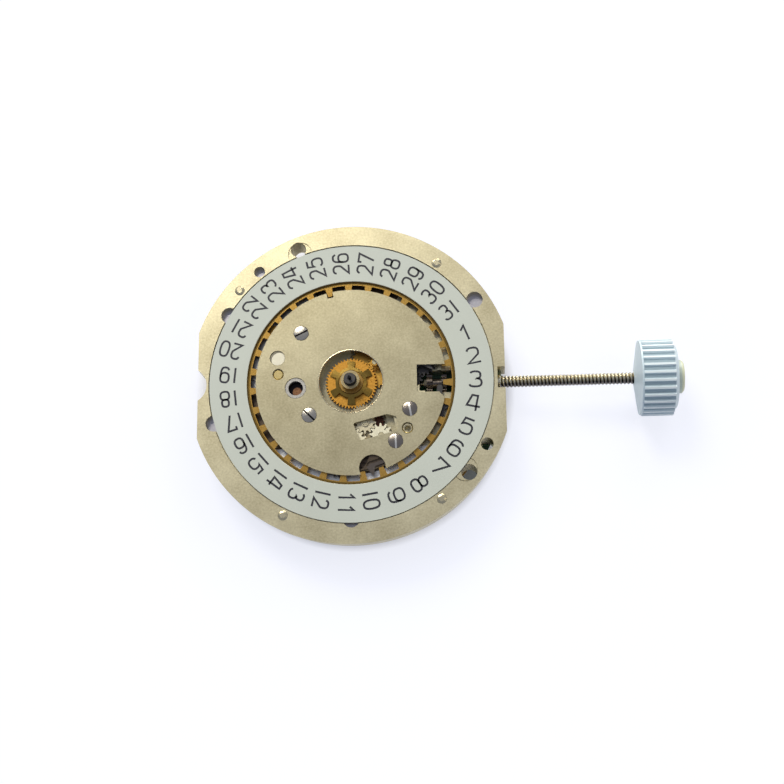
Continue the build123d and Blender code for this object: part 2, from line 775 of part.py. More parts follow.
    # Bosses that carry the battery clamp and the train bridge
    for pad in clamp_pads:
        disc(clamp_pad_r, clamp_z1, back_z, pad)
        disc(bridge_shank_r, clamp_z1, clamp_z1 + bridge_shank_l, pad, Mode.SUBTRACT)
    for place in bridge_screw_spots:
        disc(bridge_eye_r, bridge_z1, roof_z, place)
        disc(bridge_shank_r, bridge_z1, bridge_z1 + bridge_shank_l - bridge_t + bridge_screw_sink, place, Mode.SUBTRACT)
    for place in board_screw_spots:
        disc(board_shank_r, back_z, back_z + board_shank_l - board_t, place, Mode.SUBTRACT)
    for foot in coil_feet:
        disc(motor_shank_r, stator_z1, stator_z1 + motor_shank_l - stator_t, foot, Mode.SUBTRACT)
    rod(pilot_r + stem_run_gap, pilot_wall_x, slot_low_x + overrun, Mode.SUBTRACT)
finish(main_plate.part, "main_plate")

# Rim pins: polished domes pressed into the rim
with BuildPart() as rim_pins:
    for place in rim_pin_spots:
        disc(rim_pin_r, -rim_pin_t, 0, place)
        with BuildSketch(Plane.XY):
            with Locations(place):
                Circle(rim_pin_r)
        extrude(amount=rim_pin_rise, taper=rim_pin_taper)
        with BuildSketch(Plane.XY.offset(rim_pin_rise)):
            with Locations(place):
                Circle(rim_pin_r - rim_pin_rise * math.tan(math.radians(rim_pin_taper)))
        extrude(amount=rim_pin_rise, taper=rim_pin_flat_taper)
finish(rim_pins.part, "rim_pins")

# Dial foot clips: a flat spring strip beside each foot hole
with BuildPart() as dial_foot_clips:
    for turn, place in zip(foot_hole_turns, foot_hole_spots):
        with BuildSketch(Plane.XY.offset(-plate_t - clip_t)):
            with Locations(Location(place, turn)):
                Circle(foot_hole_r + clip_gap + clip_w)
                Circle(foot_hole_r + clip_gap, mode=Mode.SUBTRACT)
                Rectangle(2 * clip_reach, clip_slot_w, align=(Align.MIN, Align.CENTER), mode=Mode.SUBTRACT)
        extrude(amount=clip_t)
finish(dial_foot_clips.part, "dial_foot_clips")

# Date ring: turned brass with a painted face and 31 inner teeth, one for each day
with BuildPart() as date_ring:
    with BuildSketch(Plane.XZ):
        with BuildLine():
            Polyline(
                (paint_in_r, ring_z1 - ring_bevel),
                (paint_in_r + ring_bevel, ring_z1),
                (ring_r, ring_z1),
                (ring_r, ring_z0),
                (collar_r, ring_z0),
                (collar_r, ring_tooth_z0),
                (tooth_root_r, ring_tooth_z0),
                (tooth_root_r, ring_tooth_z1),
                (paint_in_r, ring_tooth_z1),
                close=True,
            )
        make_face()
    revolve(axis=Axis.Z)
    with BuildSketch(Plane.XY.offset(ring_tooth_z0)):
        root_inside = math.sqrt((tooth_root_r + ring_bevel) ** 2 - tooth_root_w**2 / 4)
        with PolarLocations(0, ring_teeth, start_angle=ring_tooth_turn):
            Polygon(
                (tooth_tip_r, -tooth_tip_w / 2),
                (root_inside, -tooth_root_w / 2),
                (root_inside, tooth_root_w / 2),
                (tooth_tip_r, tooth_tip_w / 2),
                align=None,
            )
    extrude(amount=ring_tooth_t)
finish(date_ring.part, "date_ring")

# Retaining plate: stamped sheet, pierced for the hands, the date window wheels and the screws
with BuildPart() as retainer_plate:
    with BuildSketch(Plane.XY.offset(land_z)):
        Circle(retainer_r)
        Circle(retainer_bore_r, mode=Mode.SUBTRACT)
        with BuildLine():
            Polyline(
                (notch_x, notch_y_high),
                (flange_r, notch_y_high),
                (flange_r, notch_y_low - notch_flare),
                (spot(-notch_flare, retainer_r)[0], notch_y_low - notch_flare),
                (retainer_r - notch_flare, notch_y_low),
                (notch_x, notch_y_low),
                close=True,
            )
        make_face(mode=Mode.SUBTRACT)
        with Locations(spot(bay_share[0], bay_share[1] * retainer_r)):
            Circle(bay_r, mode=Mode.SUBTRACT)
        with Locations(spot(tab_turn, retainer_r)):
            Rectangle(2 * tab_d, tab_w, rotation=tab_turn, mode=Mode.SUBTRACT)
        with Locations(window_at):
            with BuildSketch(mode=Mode.PRIVATE) as window:
                Polygon(
                    (-window_l / 2 - window_slant / 2, window_w / 2),
                    (window_l / 2 - window_slant, window_w / 2),
                    (window_l / 2 + window_slant / 2, window_w / 4),
                    (window_l / 2 + window_slant / 2, -window_w / 4),
                    (window_l / 2, -window_w / 2),
                    (-window_l / 2, -window_w / 2),
                    align=None,
                )
                fillet(window.vertices(), window_corner * window_w / window_l)
            add(window.sketch, rotation=window_turn, mode=Mode.SUBTRACT)
        with Locations(disc_post_at):
            Circle(disc_post_r + post_hole_gap, mode=Mode.SUBTRACT)
        with Locations(brass_post_at):
            Circle(brass_post_r + post_hole_gap, mode=Mode.SUBTRACT)
        with Locations(bush_at):
            Circle(bush_r + post_hole_gap, mode=Mode.SUBTRACT)
        with Locations(eyelet_at):
            Circle(eyelet_r + post_hole_gap, mode=Mode.SUBTRACT)
    extrude(amount=retainer_t)
    for place, slot in retainer_screw_spots:
        disc(screw_shank_r + screw_hole_gap, land_z - overrun, overrun, place, Mode.SUBTRACT)
        disc(screw_head_r + screw_hole_gap, retainer_z1 - screw_head_t, overrun, place, Mode.SUBTRACT)
    bore_edges = retainer_plate.edges().filter_by(GeomType.CIRCLE).group_by(Axis.Z)[-1]
    bore_edge = bore_edges.filter_by(lambda e: abs(e.radius - retainer_bore_r) < retainer_edge)
    chamfer(bore_edge, retainer_edge)
finish(retainer_plate.part, "retainer_plate")

# Screws of the retaining plate, with slotted flat heads
with BuildPart() as retainer_screws:
    for place, slot in retainer_screw_spots:
        disc(screw_head_r, retainer_z1 - screw_head_t, retainer_z1, place)
        disc(screw_shank_r, land_z - screw_shank_l, retainer_z1 - screw_head_t, place)
        with BuildSketch(Plane.XY.offset(retainer_z1 - screw_slot_d)):
            with Locations(place):
                Rectangle(4 * screw_head_r, screw_slot_w, rotation=slot)
        extrude(amount=overrun, mode=Mode.SUBTRACT)
finish(retainer_screws.part, "retainer_screws")

# Posts in the land: a steel one and a brass one
with BuildPart() as locating_post:
    disc(disc_post_r, land_z - post_root, -post_drop, disc_post_at)
finish(locating_post.part, "locating_post")

with BuildPart() as brass_post:
    disc(brass_post_r, land_z - post_root, -post_drop, brass_post_at)
    chamfer(brass_post.faces().sort_by(Axis.Z)[-1].edges(), post_drop)
finish(brass_post.part, "brass_post")

# Steel bush pressed into the land
with BuildPart() as steel_bush:
    disc(bush_r, land_z - bush_t, -post_drop, bush_at)
    disc(bush_bore_r, land_z - bush_t + contact_t, overrun, bush_at, Mode.SUBTRACT)
finish(steel_bush.part, "steel_bush")

# Small tube riveted into the land
with BuildPart() as eyelet:
    disc(eyelet_r, land_z - eyelet_t, -post_drop, eyelet_at)
    disc(eyelet_bore_r, land_z - eyelet_t, overrun, eyelet_at, Mode.SUBTRACT)
    chamfer(eyelet.faces().sort_by(Axis.Z)[-1].edges(), post_drop)
finish(eyelet.part, "eyelet")

# Hour wheel, with the pipe that carries the hour hand
with BuildPart() as hour_wheel:
    gear(hour_teeth, hour_module, hour_z0, hour_z1, turn=hour_phase)
    disc(hour_pipe_r, hour_z0, -hour_pipe_drop)
    disc(hour_seat_r, hour_z0, hour_seat_top)
    disc(cannon_r + hour_run_gap, hour_z0 - overrun, hour_seat_top + overrun, mode=Mode.SUBTRACT)
finish(hour_wheel.part, "hour_wheel")

# Dial washer: a dished six-armed foil that keeps the hour wheel down
with BuildPart() as dial_washer:
    washer_z0 = hour_z1 + washer_gap
    with BuildSketch(Plane.XZ):
        with BuildLine():
            Polyline(
                (washer_in_r, washer_z0 + washer_rise),
                (washer_in_r, washer_z0 + washer_rise + washer_t),
                (washer_r, washer_z0 + washer_t),
                (washer_r, washer_z0),
                close=True,
            )
        make_face()
    revolve(axis=Axis.Z)
    with BuildSketch(Plane.XY.offset(washer_z0 - overrun)):
        Circle(washer_ring_r)
        with PolarLocations(0, washer_arms, start_angle=washer_turn):
            arm_end = washer_arm_w / 2 + washer_arm_flare / 2
            Polygon(
                (0, -washer_arm_w / 2),
                (washer_ring_r, -washer_arm_w / 2),
                (washer_r + overrun, -arm_end),
                (washer_r + overrun, arm_end),
                (washer_ring_r, washer_arm_w / 2),
                (0, washer_arm_w / 2),
                align=None,
            )
    extrude(amount=washer_rise + 3 * overrun, mode=Mode.INTERSECT)
finish(dial_washer.part, "dial_washer")

# Cannon pinion, with the seat of the minute hand
with BuildPart() as cannon_pinion:
    disc(cannon_r, centre_z0, minute_seat_top - minute_seat_l)
    disc(minute_seat_r, centre_z0, minute_seat_top)
    gear(cannon_teeth, cannon_module, minute_z0 - cannon_leaf_lap, minute_z1 + cannon_leaf_lap)
    cannon_bore_r = seconds_arbor_r + cannon_bore_gap
    disc(cannon_bore_r, centre_z0 - overrun, minute_seat_top + overrun, mode=Mode.SUBTRACT)
finish(cannon_pinion.part, "cannon_pinion")

# Centre wheel, gripped by the foot of the cannon pinion
with BuildPart() as centre_wheel:
    gear(centre_teeth, centre_module, centre_z0, centre_z1, turn=centre_phase)
    disc(cannon_r, centre_z0 - overrun, centre_z1 + overrun, mode=Mode.SUBTRACT)
finish(centre_wheel.part, "centre_wheel")

# Minute wheel and its pinion
with BuildPart() as minute_wheel:
    gear(minute_teeth, cannon_module, minute_z0, minute_z1, minute_at, minute_phase)
    gear(minute_pinion_teeth, hour_module, minute_z0, hour_z1 + cannon_leaf_lap, minute_at)
    disc(hub_r, minute_z0, hub_z1, minute_at)
    disc(post_r + post_gap, minute_z0 - overrun, overrun, minute_at, Mode.SUBTRACT)
finish(minute_wheel.part, "minute_wheel")

# Setting wheel between the minute wheel and the sliding pinion
with BuildPart() as setting_wheel:
    gear(setting_teeth, cannon_module, minute_z0, setting_z1, setting_at, setting_phase)
    disc(post_r + post_gap, minute_z0 - overrun, overrun, setting_at, Mode.SUBTRACT)
finish(setting_wheel.part, "setting_wheel")

# Date corrector: a toothed wheel under a four-pointed star
with BuildPart() as date_corrector:
    gear(corrector_teeth, corrector_module, corrector_z0, corrector_z1, corrector_at)
    disc(corrector_waist_r, corrector_z0, ring_tooth_z1, corrector_at)
    with BuildSketch(Plane.XY.offset(ring_tooth_z0)):
        with Locations(corrector_at):
            star = []
            for i in range(corrector_points):
                star.append(spot(45 + i * 360 / corrector_points, corrector_tip_r))
                star.append(spot(45 + (i + mesh_half_share) * 360 / corrector_points, corrector_waist_r))
            Polygon(*star, align=None)
    extrude(amount=ring_tooth_t)
    disc(post_r + post_gap, corrector_z0 - overrun, overrun, corrector_at, Mode.SUBTRACT)
finish(date_corrector.part, "date_corrector")

# Intermediate date wheel
with BuildPart() as date_idler:
    gear(date_idler_teeth, hour_module, hour_z0, hour_z1, date_idler_at, date_idler_phase)
    gear(date_idler_pinion_teeth, date_module, hour_z0, date_wheel_z1 + cannon_leaf_lap, date_idler_at)
    disc(hub_r, hour_z0, hub_z1, date_idler_at)
    disc(post_r + post_gap, hour_z0 - overrun, overrun, date_idler_at, Mode.SUBTRACT)
finish(date_idler.part, "date_idler")

# Date driving wheel, once round in a day
with BuildPart() as date_wheel:
    gear(date_wheel_teeth, date_module, date_wheel_z0, date_wheel_z1, date_wheel_at, date_wheel_phase)
    disc(post_r + post_gap, date_wheel_z0 - overrun, overrun, date_wheel_at, Mode.SUBTRACT)
finish(date_wheel.part, "date_wheel")

# Small wheel with an index mark, driven by the pinion of the intermediate date wheel
with BuildPart() as mark_wheel:
    gear(mark_teeth, date_module, mark_z0, mark_z1, mark_at, mark_phase)
    with BuildSketch(Plane.XY.offset(mark_z1 - mark_slot_d)):
        with Locations(Location(mark_at, mark_slot_turn)):
            with Locations((mark_slot_place_r, 0)):
                Rectangle(mark_slot_l, mark_slot_w)
    extrude(amount=overrun, mode=Mode.SUBTRACT)
    disc(post_r + post_gap, mark_z0 - overrun, overrun, mark_at, Mode.SUBTRACT)
finish(mark_wheel.part, "mark_wheel")

# Date finger: a spring arm on the driving wheel that pushes one tooth of the ring each night
with BuildPart() as date_finger:
    disc(finger_hub_r, date_wheel_z1, date_wheel_z1 + finger_t, date_wheel_at)
    with BuildSketch(Plane.XY.offset(date_wheel_z1)):
        with Locations(Location(date_wheel_at, finger_turn)):
            Rectangle(finger_r, finger_w, align=(Align.MIN, Align.CENTER))
    extrude(amount=finger_t)
    with BuildSketch(Plane.XY.offset(date_wheel_z1)):
        with Locations(Location(date_wheel_at, finger_turn)):
            with Locations((finger_r, 0)):
                Rectangle(finger_w, finger_w, align=(Align.MAX, Align.CENTER))
    extrude(amount=ring_tooth_z1 - date_wheel_z1)
    disc(post_r + post_gap, date_wheel_z1 - overrun, overrun, date_wheel_at, Mode.SUBTRACT)
finish(date_finger.part, "date_finger")

# Date jumper: a curved spring whose nose rests between two teeth of the ring
with BuildPart() as date_jumper:
    with BuildSketch(Plane.XY.offset(ring_tooth_z0)):
        with BuildLine():
            spine = CenterArc((0, 0), jumper_r, jumper_turn, jumper_anchor_turn - jumper_turn)
            offset(spine, jumper_w / 2)
        make_face()
        with Locations(jumper_foot_at):
            Circle(jumper_foot_r)
        with Locations(Rotation(0, 0, jumper_turn)):
            Polygon(
                (jumper_r, -jumper_nose_w / 2),
                (jumper_nose_r, 0),
                (jumper_r, jumper_nose_w / 2),
                align=None,
            )
    extrude(amount=jumper_t)
    disc(jumper_pin_r, ring_tooth_z0 - overrun, overrun, jumper_foot_at, Mode.SUBTRACT)
finish(date_jumper.part, "date_jumper")

# Pin that holds the foot of the jumper
with BuildPart() as jumper_pin:
    disc(jumper_pin_r, track_z, land_z, jumper_foot_at)
finish(jumper_pin.part, "jumper_pin")

# Setting stem: pilot, square, grooved shank and the long threaded rod
with BuildPart() as stem:
    rod(pilot_r, stem_tip_x, pilot_end_x)
    with BuildSketch(Plane.YZ.offset(pilot_end_x)):
        with Locations((0, stem_z)):
            Rectangle(square_w, square_w)
    extrude(amount=square_end_x - pilot_end_x)
    rod(shank_r, square_end_x, stem_groove_x - stem_groove_w / 2)
    rod(stem_groove_r, stem_groove_x - stem_groove_w / 2, stem_groove_x + stem_groove_w / 2)
    rod(shank_r, stem_groove_x + stem_groove_w / 2, shank_end_x)
    rod(thread_r, shank_end_x, crown_x + crown_bore_l)
finish(stem.part, "stem")

# Crown: ribbed plastic cap screwed on the rod
with BuildPart() as crown:
    rib_x0 = crown_x + crown_face_t
    rib_x1 = rib_x0 + crown_rib_l
    end_x = rib_x1 + crown_end_t
    with BuildSketch(Plane.XZ):
        with BuildLine():
            Polyline(
                (crown_x - crown_face_cone, stem_z),
                (crown_x - crown_face_cone, stem_z + crown_boss_r / 2),
                (crown_x, stem_z + crown_face_r),
                (rib_x0, stem_z + crown_face_r),
                (rib_x0, stem_z + crown_groove_r),
                (rib_x1, stem_z + crown_groove_r),
                (end_x, stem_z + crown_end_r),
                (end_x, stem_z),
                close=True,
            )
        make_face()
    revolve(axis=Axis((0, 0, stem_z), (1, 0, 0)))
    with BuildSketch(Plane.YZ.offset(rib_x0)):
        with Locations((0, stem_z)):
            ribs = []
            for i in range(crown_ribs):
                for share, radius in (
                    (-root_half_share, crown_groove_r),
                    (-tip_half_share, crown_rib_r),
                    (tip_half_share, crown_rib_r),
                    (root_half_share, crown_groove_r),
                ):
                    ribs.append(spot((i + share) * 360 / crown_ribs, radius))
            Polygon(*ribs, align=None)
    extrude(amount=crown_rib_l)
    rod(crown_boss_r, end_x, end_x + crown_boss_t)
    chamfer(crown.faces().sort_by(Axis.X)[-1].edges(), crown_boss_round)
    rod(thread_r + crown_fit, crown_x - crown_face_cone - overrun, crown_x + crown_bore_l, Mode.SUBTRACT)
finish(crown.part, "crown")

# Sliding pinion: toothed at both ends, with a square bore and a groove for the yoke
with BuildPart() as sliding_pinion:
    rod(pinion_neck_r, pinion_x, pinion_x + pinion_l)
    pinion_module = 2 * (pinion_tip_r - pinion_root_r) / (tip_height_share + root_depth_share) / 2
    with BuildSketch(Plane.YZ.offset(pinion_x)):
        with Locations((0, stem_z)):
            leaves = []
            for i in range(pinion_teeth):
                for share, radius in (
                    (-root_half_share, pinion_root_r),
                    (-tip_half_share, pinion_tip_r),
                    (tip_half_share, pinion_tip_r),
                    (root_half_share, pinion_root_r),
                ):
                    leaves.append(spot((i + share) * 360 / pinion_teeth, radius))
            Polygon(*leaves, align=None)
    extrude(amount=pinion_groove_x - pinion_x)
    with BuildSketch(Plane.YZ.offset(pinion_groove_x + pinion_groove_w)):
        with Locations((0, stem_z)):
            Polygon(*leaves, align=None)
    extrude(amount=pinion_x + pinion_l - pinion_groove_x - pinion_groove_w)
    with BuildSketch(Plane.YZ.offset(pinion_x - overrun)):
        with Locations((0, stem_z)):
            Rectangle(square_w + 2 * pinion_fit, square_w + 2 * pinion_fit)
    extrude(amount=pinion_l + 2 * overrun, mode=Mode.SUBTRACT)
finish(sliding_pinion.part, "sliding_pinion")

# Setting lever: its pin sits in the groove of the stem
with BuildPart() as setting_lever:
    lever_tail_at = (lever_at[0] + lever_tail_l, lever_at[1] - lever_nose_r)
    disc(lever_eye_r, lever_z0, lever_z1, lever_at)
    web((lever_pin_at, lever_at, lever_tail_at), lever_nose_r, lever_z0, lever_z1)
    disc(lever_pin_r, lever_z0 - lever_pin_l, lever_z0, lever_pin_at)
    disc(lever_pivot_r + post_gap, lever_z0 - overrun, overrun, lever_at, Mode.SUBTRACT)
finish(setting_lever.part, "setting_lever")

# Yoke: its pin sits in the groove of the sliding pinion
with BuildPart() as yoke:
    disc(lever_eye_r, lever_z0, lever_z1, yoke_at)
    web((yoke_pin_at, yoke_at, yoke_tail_at), yoke_nose_r, lever_z0, lever_z1)
    disc(lever_pin_r, lever_z0 - yoke_pin_l, lever_z0, yoke_pin_at)
    disc(lever_pivot_r + post_gap, lever_z0 - overrun, overrun, yoke_at, Mode.SUBTRACT)
finish(yoke.part, "yoke")

# Yoke spring: a blade that presses on the tail of the yoke
with BuildPart() as yoke_spring:
    disc(yoke_spring_foot_r, lever_floor_z, lever_z1, yoke_spring_foot_at)
    spring_tip_at = (yoke_tail_x + yoke_nose_r + yoke_spring_w, yoke_tail_y)
    web((yoke_spring_foot_at, spring_tip_at), yoke_spring_w / 2, lever_z0, lever_z0 + yoke_spring_t)
finish(yoke_spring.part, "yoke_spring")

# Third wheel and pinion
with BuildPart() as third_wheel:
    gear(third_teeth, train_module, third_z0, third_z1, third_at, third_phase)
    gear(third_pinion_teeth, centre_module, third_z0, centre_z1 + leaf_lap, third_at)
    disc(pivot_r, third_z0, roof_z + pivot_l - pivot_gap, third_at)
    disc(arbor_r, bridge_z1 + pivot_gap, third_z0, third_at)
    disc(pivot_r, bridge_z1 - pivot_l, bridge_z1 + pivot_gap, third_at)
finish(third_wheel.part, "third_wheel")

# Seconds wheel, on the long arbor that carries the seconds hand
with BuildPart() as seconds_wheel:
    gear(seconds_teeth, train_module, seconds_z0, seconds_z1, turn=seconds_phase)
    gear(seconds_pinion_teeth, train_module, seconds_z0, third_z1 + leaf_lap)
    disc(seconds_arbor_r, bridge_z1 + pivot_gap, seconds_seat_top - seconds_seat_l)
    disc(seconds_seat_r, seconds_seat_top - seconds_seat_l, seconds_seat_top)
    disc(pivot_r, bridge_z1 - pivot_l, bridge_z1 + pivot_gap)
finish(seconds_wheel.part, "seconds_wheel")

# Intermediate wheel between the rotor and the seconds wheel
with BuildPart() as intermediate_wheel:
    gear(idler_teeth, train_module, idler_z0, idler_z1, idler_at, idler_phase)
    gear(idler_pinion_teeth, train_module, idler_z0, seconds_z1 + leaf_lap, idler_at)
    disc(arbor_r, seconds_z1, roof_z - pivot_gap, idler_at)
    disc(pivot_r, roof_z - pivot_gap, roof_z + pivot_l - pivot_gap, idler_at)
    disc(pivot_r, bridge_z1 - pivot_l, idler_z0, idler_at)
finish(intermediate_wheel.part, "intermediate_wheel")

# Rotor: plastic pinion and arbor that carry the magnet
with BuildPart() as rotor:
    gear(rotor_pinion_teeth, train_module, idler_z0 - leaf_lap, idler_z1 + leaf_lap, rotor_at)
    disc(arbor_r, idler_z0, roof_z - pivot_gap, rotor_at)
    disc(pivot_r, roof_z - pivot_gap, roof_z + pivot_l - pivot_gap, rotor_at)
    disc(pivot_r, bridge_z1 - pivot_l, idler_z0, rotor_at)
finish(rotor.part, "rotor")

with BuildPart() as rotor_magnet:
    disc(magnet_r, stator_z0, stator_z0 + magnet_t, rotor_at)
    disc(arbor_r, stator_z0 - overrun, stator_z0 + overrun, rotor_at, Mode.SUBTRACT)
finish(rotor_magnet.part, "rotor_magnet")

# Stator: soft iron plate with an eye round the magnet and two legs to the coil
with BuildPart() as stator:
    web((coil_foot_a, rotor_at, coil_foot_b), stator_leg_w / 2, stator_z0, stator_z1)
    disc(stator_eye_r, stator_z0, stator_z1, rotor_at)
    for foot in coil_feet:
        disc(stator_foot_r, stator_z0, stator_z1, foot)
    disc(magnet_r + stator_bore_gap, stator_z0 - overrun, stator_z1 + overrun, rotor_at, Mode.SUBTRACT)
    for foot in coil_feet:
        disc(motor_shank_r, stator_z0 - overrun, stator_z1 + overrun, foot, Mode.SUBTRACT)
finish(stator.part, "stator")

# Coil core: iron strip that lies on the feet of the stator
with BuildPart() as coil_core:
    with BuildSketch(Plane.XY.offset(coil_core_z0)):
        with Locations(coil_mid):
            Rectangle(coil_span, coil_core_w, rotation=coil_line)
        with Locations(*coil_feet):
            Circle(stator_foot_r)
        with Locations(*coil_feet):
            Circle(motor_shank_r, mode=Mode.SUBTRACT)
    extrude(amount=coil_core_t)
finish(coil_core.part, "coil_core")

# Coil: fine copper wire wound on the core between two cheeks
with BuildPart() as coil:
    coil_plane = Plane(
        origin=(coil_mid[0], coil_mid[1], (coil_z0 + coil_z1) / 2),
        x_dir=(-math.sin(math.radians(coil_line)), math.cos(math.radians(coil_line)), 0),
        z_dir=(math.cos(math.radians(coil_line)), math.sin(math.radians(coil_line)), 0),
    )
    with BuildSketch(coil_plane):
        RectangleRounded(coil_w, coil_t, coil_corner)
    extrude(amount=coil_l / 2, both=True)
    with BuildSketch(Plane.XY.offset(coil_core_z0)):
        with Locations(coil_mid):
            Rectangle(coil_span, coil_core_w, rotation=coil_line)
    extrude(amount=coil_core_t, mode=Mode.SUBTRACT)
finish(coil.part, "coil")

# Cheeks at the ends of the coil
with BuildPart() as coil_cheeks:
    for side in (-1, 1):
        with BuildSketch(coil_plane.offset(side * (coil_l + coil_flange_t) / 2 - coil_flange_t / 2)):
            RectangleRounded(coil_w + 2 * coil_flange_grow, coil_t, coil_corner)
        extrude(amount=coil_flange_t)
    with BuildSketch(Plane.XY.offset(coil_core_z0)):
        with Locations(coil_mid):
            Rectangle(coil_span, coil_core_w, rotation=coil_line)
    extrude(amount=coil_core_t, mode=Mode.SUBTRACT)
finish(coil_cheeks.part, "coil_cheeks")

# Screws that clamp the coil core on the stator
with BuildPart() as motor_screws:
    for foot in coil_feet:
        disc(motor_screw_r, coil_core_z0 - motor_screw_t, coil_core_z0, foot)
        disc(motor_shank_r, coil_core_z0, stator_z1 + motor_shank_l - stator_t, foot)
        with BuildSketch(Plane.XY.offset(coil_core_z0 - motor_screw_t)):
            with Locations(foot):
                Rectangle(4 * motor_screw_r, screw_slot_w, rotation=coil_line)
        extrude(amount=screw_slot_d, mode=Mode.SUBTRACT)
finish(motor_screws.part, "motor_screws")

# Battery: stepped steel case
with BuildPart() as battery:
    disc(battery_r, battery_z0, battery_z1 - battery_step_t, battery_at)
    disc(battery_step_r, battery_z0, battery_z1, battery_at)
    chamfer(battery.faces().sort_by(Axis.Z)[0].edges(), battery_round)
finish(battery.part, "battery")

# Contact strip under the battery
with BuildPart() as battery_contact:
    contact_z0 = battery_z1
    with BuildSketch(Plane.XY.offset(contact_z0)):
        with Locations(battery_at):
            Rectangle(contact_l, contact_w)
            Circle(contact_w)
    extrude(amount=contact_t)
finish(battery_contact.part, "battery_contact")

# Clamp strap over the battery
with BuildPart() as battery_clamp:
    web((clamp_pads[0], battery_at, clamp_pads[1]), clamp_w / 2, clamp_z0, clamp_z1)
    for pad in clamp_pads:
        disc(clamp_pad_r, clamp_z0, clamp_z1, pad)
        disc(bridge_shank_r, clamp_z0 - overrun, clamp_z1 + overrun, pad, Mode.SUBTRACT)
finish(battery_clamp.part, "battery_clamp")

# Screws of the clamp
with BuildPart() as clamp_screws:
    for pad in clamp_pads:
        disc(bridge_screw_r, clamp_z0 - screw_head_t, clamp_z0, pad)
        disc(bridge_shank_r, clamp_z0, clamp_z1 + bridge_shank_l, pad)
        with BuildSketch(Plane.XY.offset(clamp_z0 - screw_head_t)):
            with Locations(pad):
                Rectangle(4 * bridge_screw_r, screw_slot_w)
        extrude(amount=screw_slot_d, mode=Mode.SUBTRACT)
finish(clamp_screws.part, "clamp_screws")

# Circuit board: a curved strip round the stem side of the back
with BuildPart() as circuit_board:
    with BuildSketch(Plane.XY.offset(board_z0)):
        with BuildLine():
            outer = CenterArc((0, 0), board_r, board_low_turn, board_high_turn - board_low_turn)
            inner = CenterArc((0, 0), board_in_r, board_low_turn, board_high_turn - board_low_turn)
            Line(outer @ 0, inner @ 0)
            Line(outer @ 1, inner @ 1)
        make_face()
        with Locations(can_at):
            Rectangle(can_slot_l, 2 * (can_r + can_room), rotation=can_turn + 90, mode=Mode.SUBTRACT)
        with Locations(*board_screw_spots):
            Circle(board_shank_r, mode=Mode.SUBTRACT)
    extrude(amount=board_t)
    for place in foot_hole_spots:
        disc(foot_hole_r + clip_gap + clip_w + clip_gap, board_z0 - overrun, overrun, place, Mode.SUBTRACT)
finish(circuit_board.part, "circuit_board")

# Timing chip under its black cap
with BuildPart() as chip_cap:
    with BuildSketch(Plane.XY.offset(board_z0 - chip_t)):
        with Locations(chip_at):
            RectangleRounded(chip_w, chip_w, chip_corner)
    extrude(amount=chip_t, taper=0)
    chamfer(chip_cap.faces().sort_by(Axis.Z)[0].edges(), chip_t / 3)
finish(chip_cap.part, "chip_cap")

# Quartz crystal in its can, with two leads
with BuildPart() as quartz_can:
    can_line = can_turn + 90
    can_plane = Plane(
        origin=(can_at[0], can_at[1], -can_drop),
        x_dir=(-math.sin(math.radians(can_line)), math.cos(math.radians(can_line)), 0),
        z_dir=(math.cos(math.radians(can_line)), math.sin(math.radians(can_line)), 0),
    )
    with BuildSketch(can_plane.offset(-(can_l + can_lead_l) / 2)):
        Circle(can_r)
    extrude(amount=can_l)
    chamfer(quartz_can.faces().filter_by(GeomType.PLANE).edges(), can_room)
    with BuildSketch(can_plane.offset((can_l - can_lead_l) / 2)):
        with Locations((-can_lead_gap, 0), (can_lead_gap, 0)):
            Circle(can_lead_r)
    extrude(amount=can_lead_l)
finish(quartz_can.part, "quartz_can")

# Screws of the circuit board
with BuildPart() as board_screws:
    for place in board_screw_spots:
        disc(board_screw_r, board_z0 - board_screw_t, board_z0, place)
        disc(board_shank_r, board_z0, back_z + board_shank_l - board_t, place)
        with BuildSketch(Plane.XY.offset(board_z0 - board_screw_t)):
            with Locations(place):
                Rectangle(4 * board_screw_r, screw_slot_w, rotation=can_turn)
        extrude(amount=screw_slot_d, mode=Mode.SUBTRACT)
finish(board_screws.part, "board_screws")

# Train bridge, with an eye for each pivot and screw
with BuildPart() as train_bridge:
    web((bridge_screw_spots[0], (0, 0), bridge_screw_spots[1]), bridge_corner_r, bridge_z0, bridge_z1)
    web(((0, 0), idler_at, rotor_at, bridge_screw_spots[2]), bridge_corner_r, bridge_z0, bridge_z1)
    web(((0, 0), third_at, idler_at), bridge_corner_r, bridge_z0, bridge_z1)
    for at in ((0, 0), third_at, idler_at, rotor_at):
        disc(jewel_r, bridge_z0 - overrun, bridge_z1 + overrun, at, Mode.SUBTRACT)
    for place in bridge_screw_spots:
        disc(bridge_shank_r, bridge_z0 - overrun, bridge_z1 + overrun, place, Mode.SUBTRACT)
        disc(bridge_screw_r, bridge_z0 - overrun, bridge_z0 + bridge_screw_sink, place, Mode.SUBTRACT)
finish(train_bridge.part, "train_bridge")

# Jewels pressed into the bridge
with BuildPart() as bridge_jewels:
    for at in ((0, 0), third_at, idler_at, rotor_at):
        disc(jewel_r, bridge_z1 - jewel_t - jewel_sink, bridge_z1, at)
        disc(pivot_r + pivot_gap, bridge_z0 - overrun, bridge_z1 + overrun, at, Mode.SUBTRACT)
finish(bridge_jewels.part, "bridge_jewels")

# Screws of the bridge
with BuildPart() as bridge_screws:
    for place in bridge_screw_spots:
        disc(bridge_screw_r, bridge_z0, bridge_z0 + bridge_screw_sink, place)
        disc(bridge_shank_r, bridge_z0, bridge_z1 + bridge_shank_l - bridge_t + bridge_screw_sink, place)
        with BuildSketch(Plane.XY.offset(bridge_z0)):
            with Locations(place):
                Rectangle(4 * bridge_screw_r, screw_slot_w, rotation=third_turn)
        extrude(amount=screw_slot_d, mode=Mode.SUBTRACT)
finish(bridge_screws.part, "bridge_screws")
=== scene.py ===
import math

import bmesh
import bpy
from mathutils import Matrix, Vector


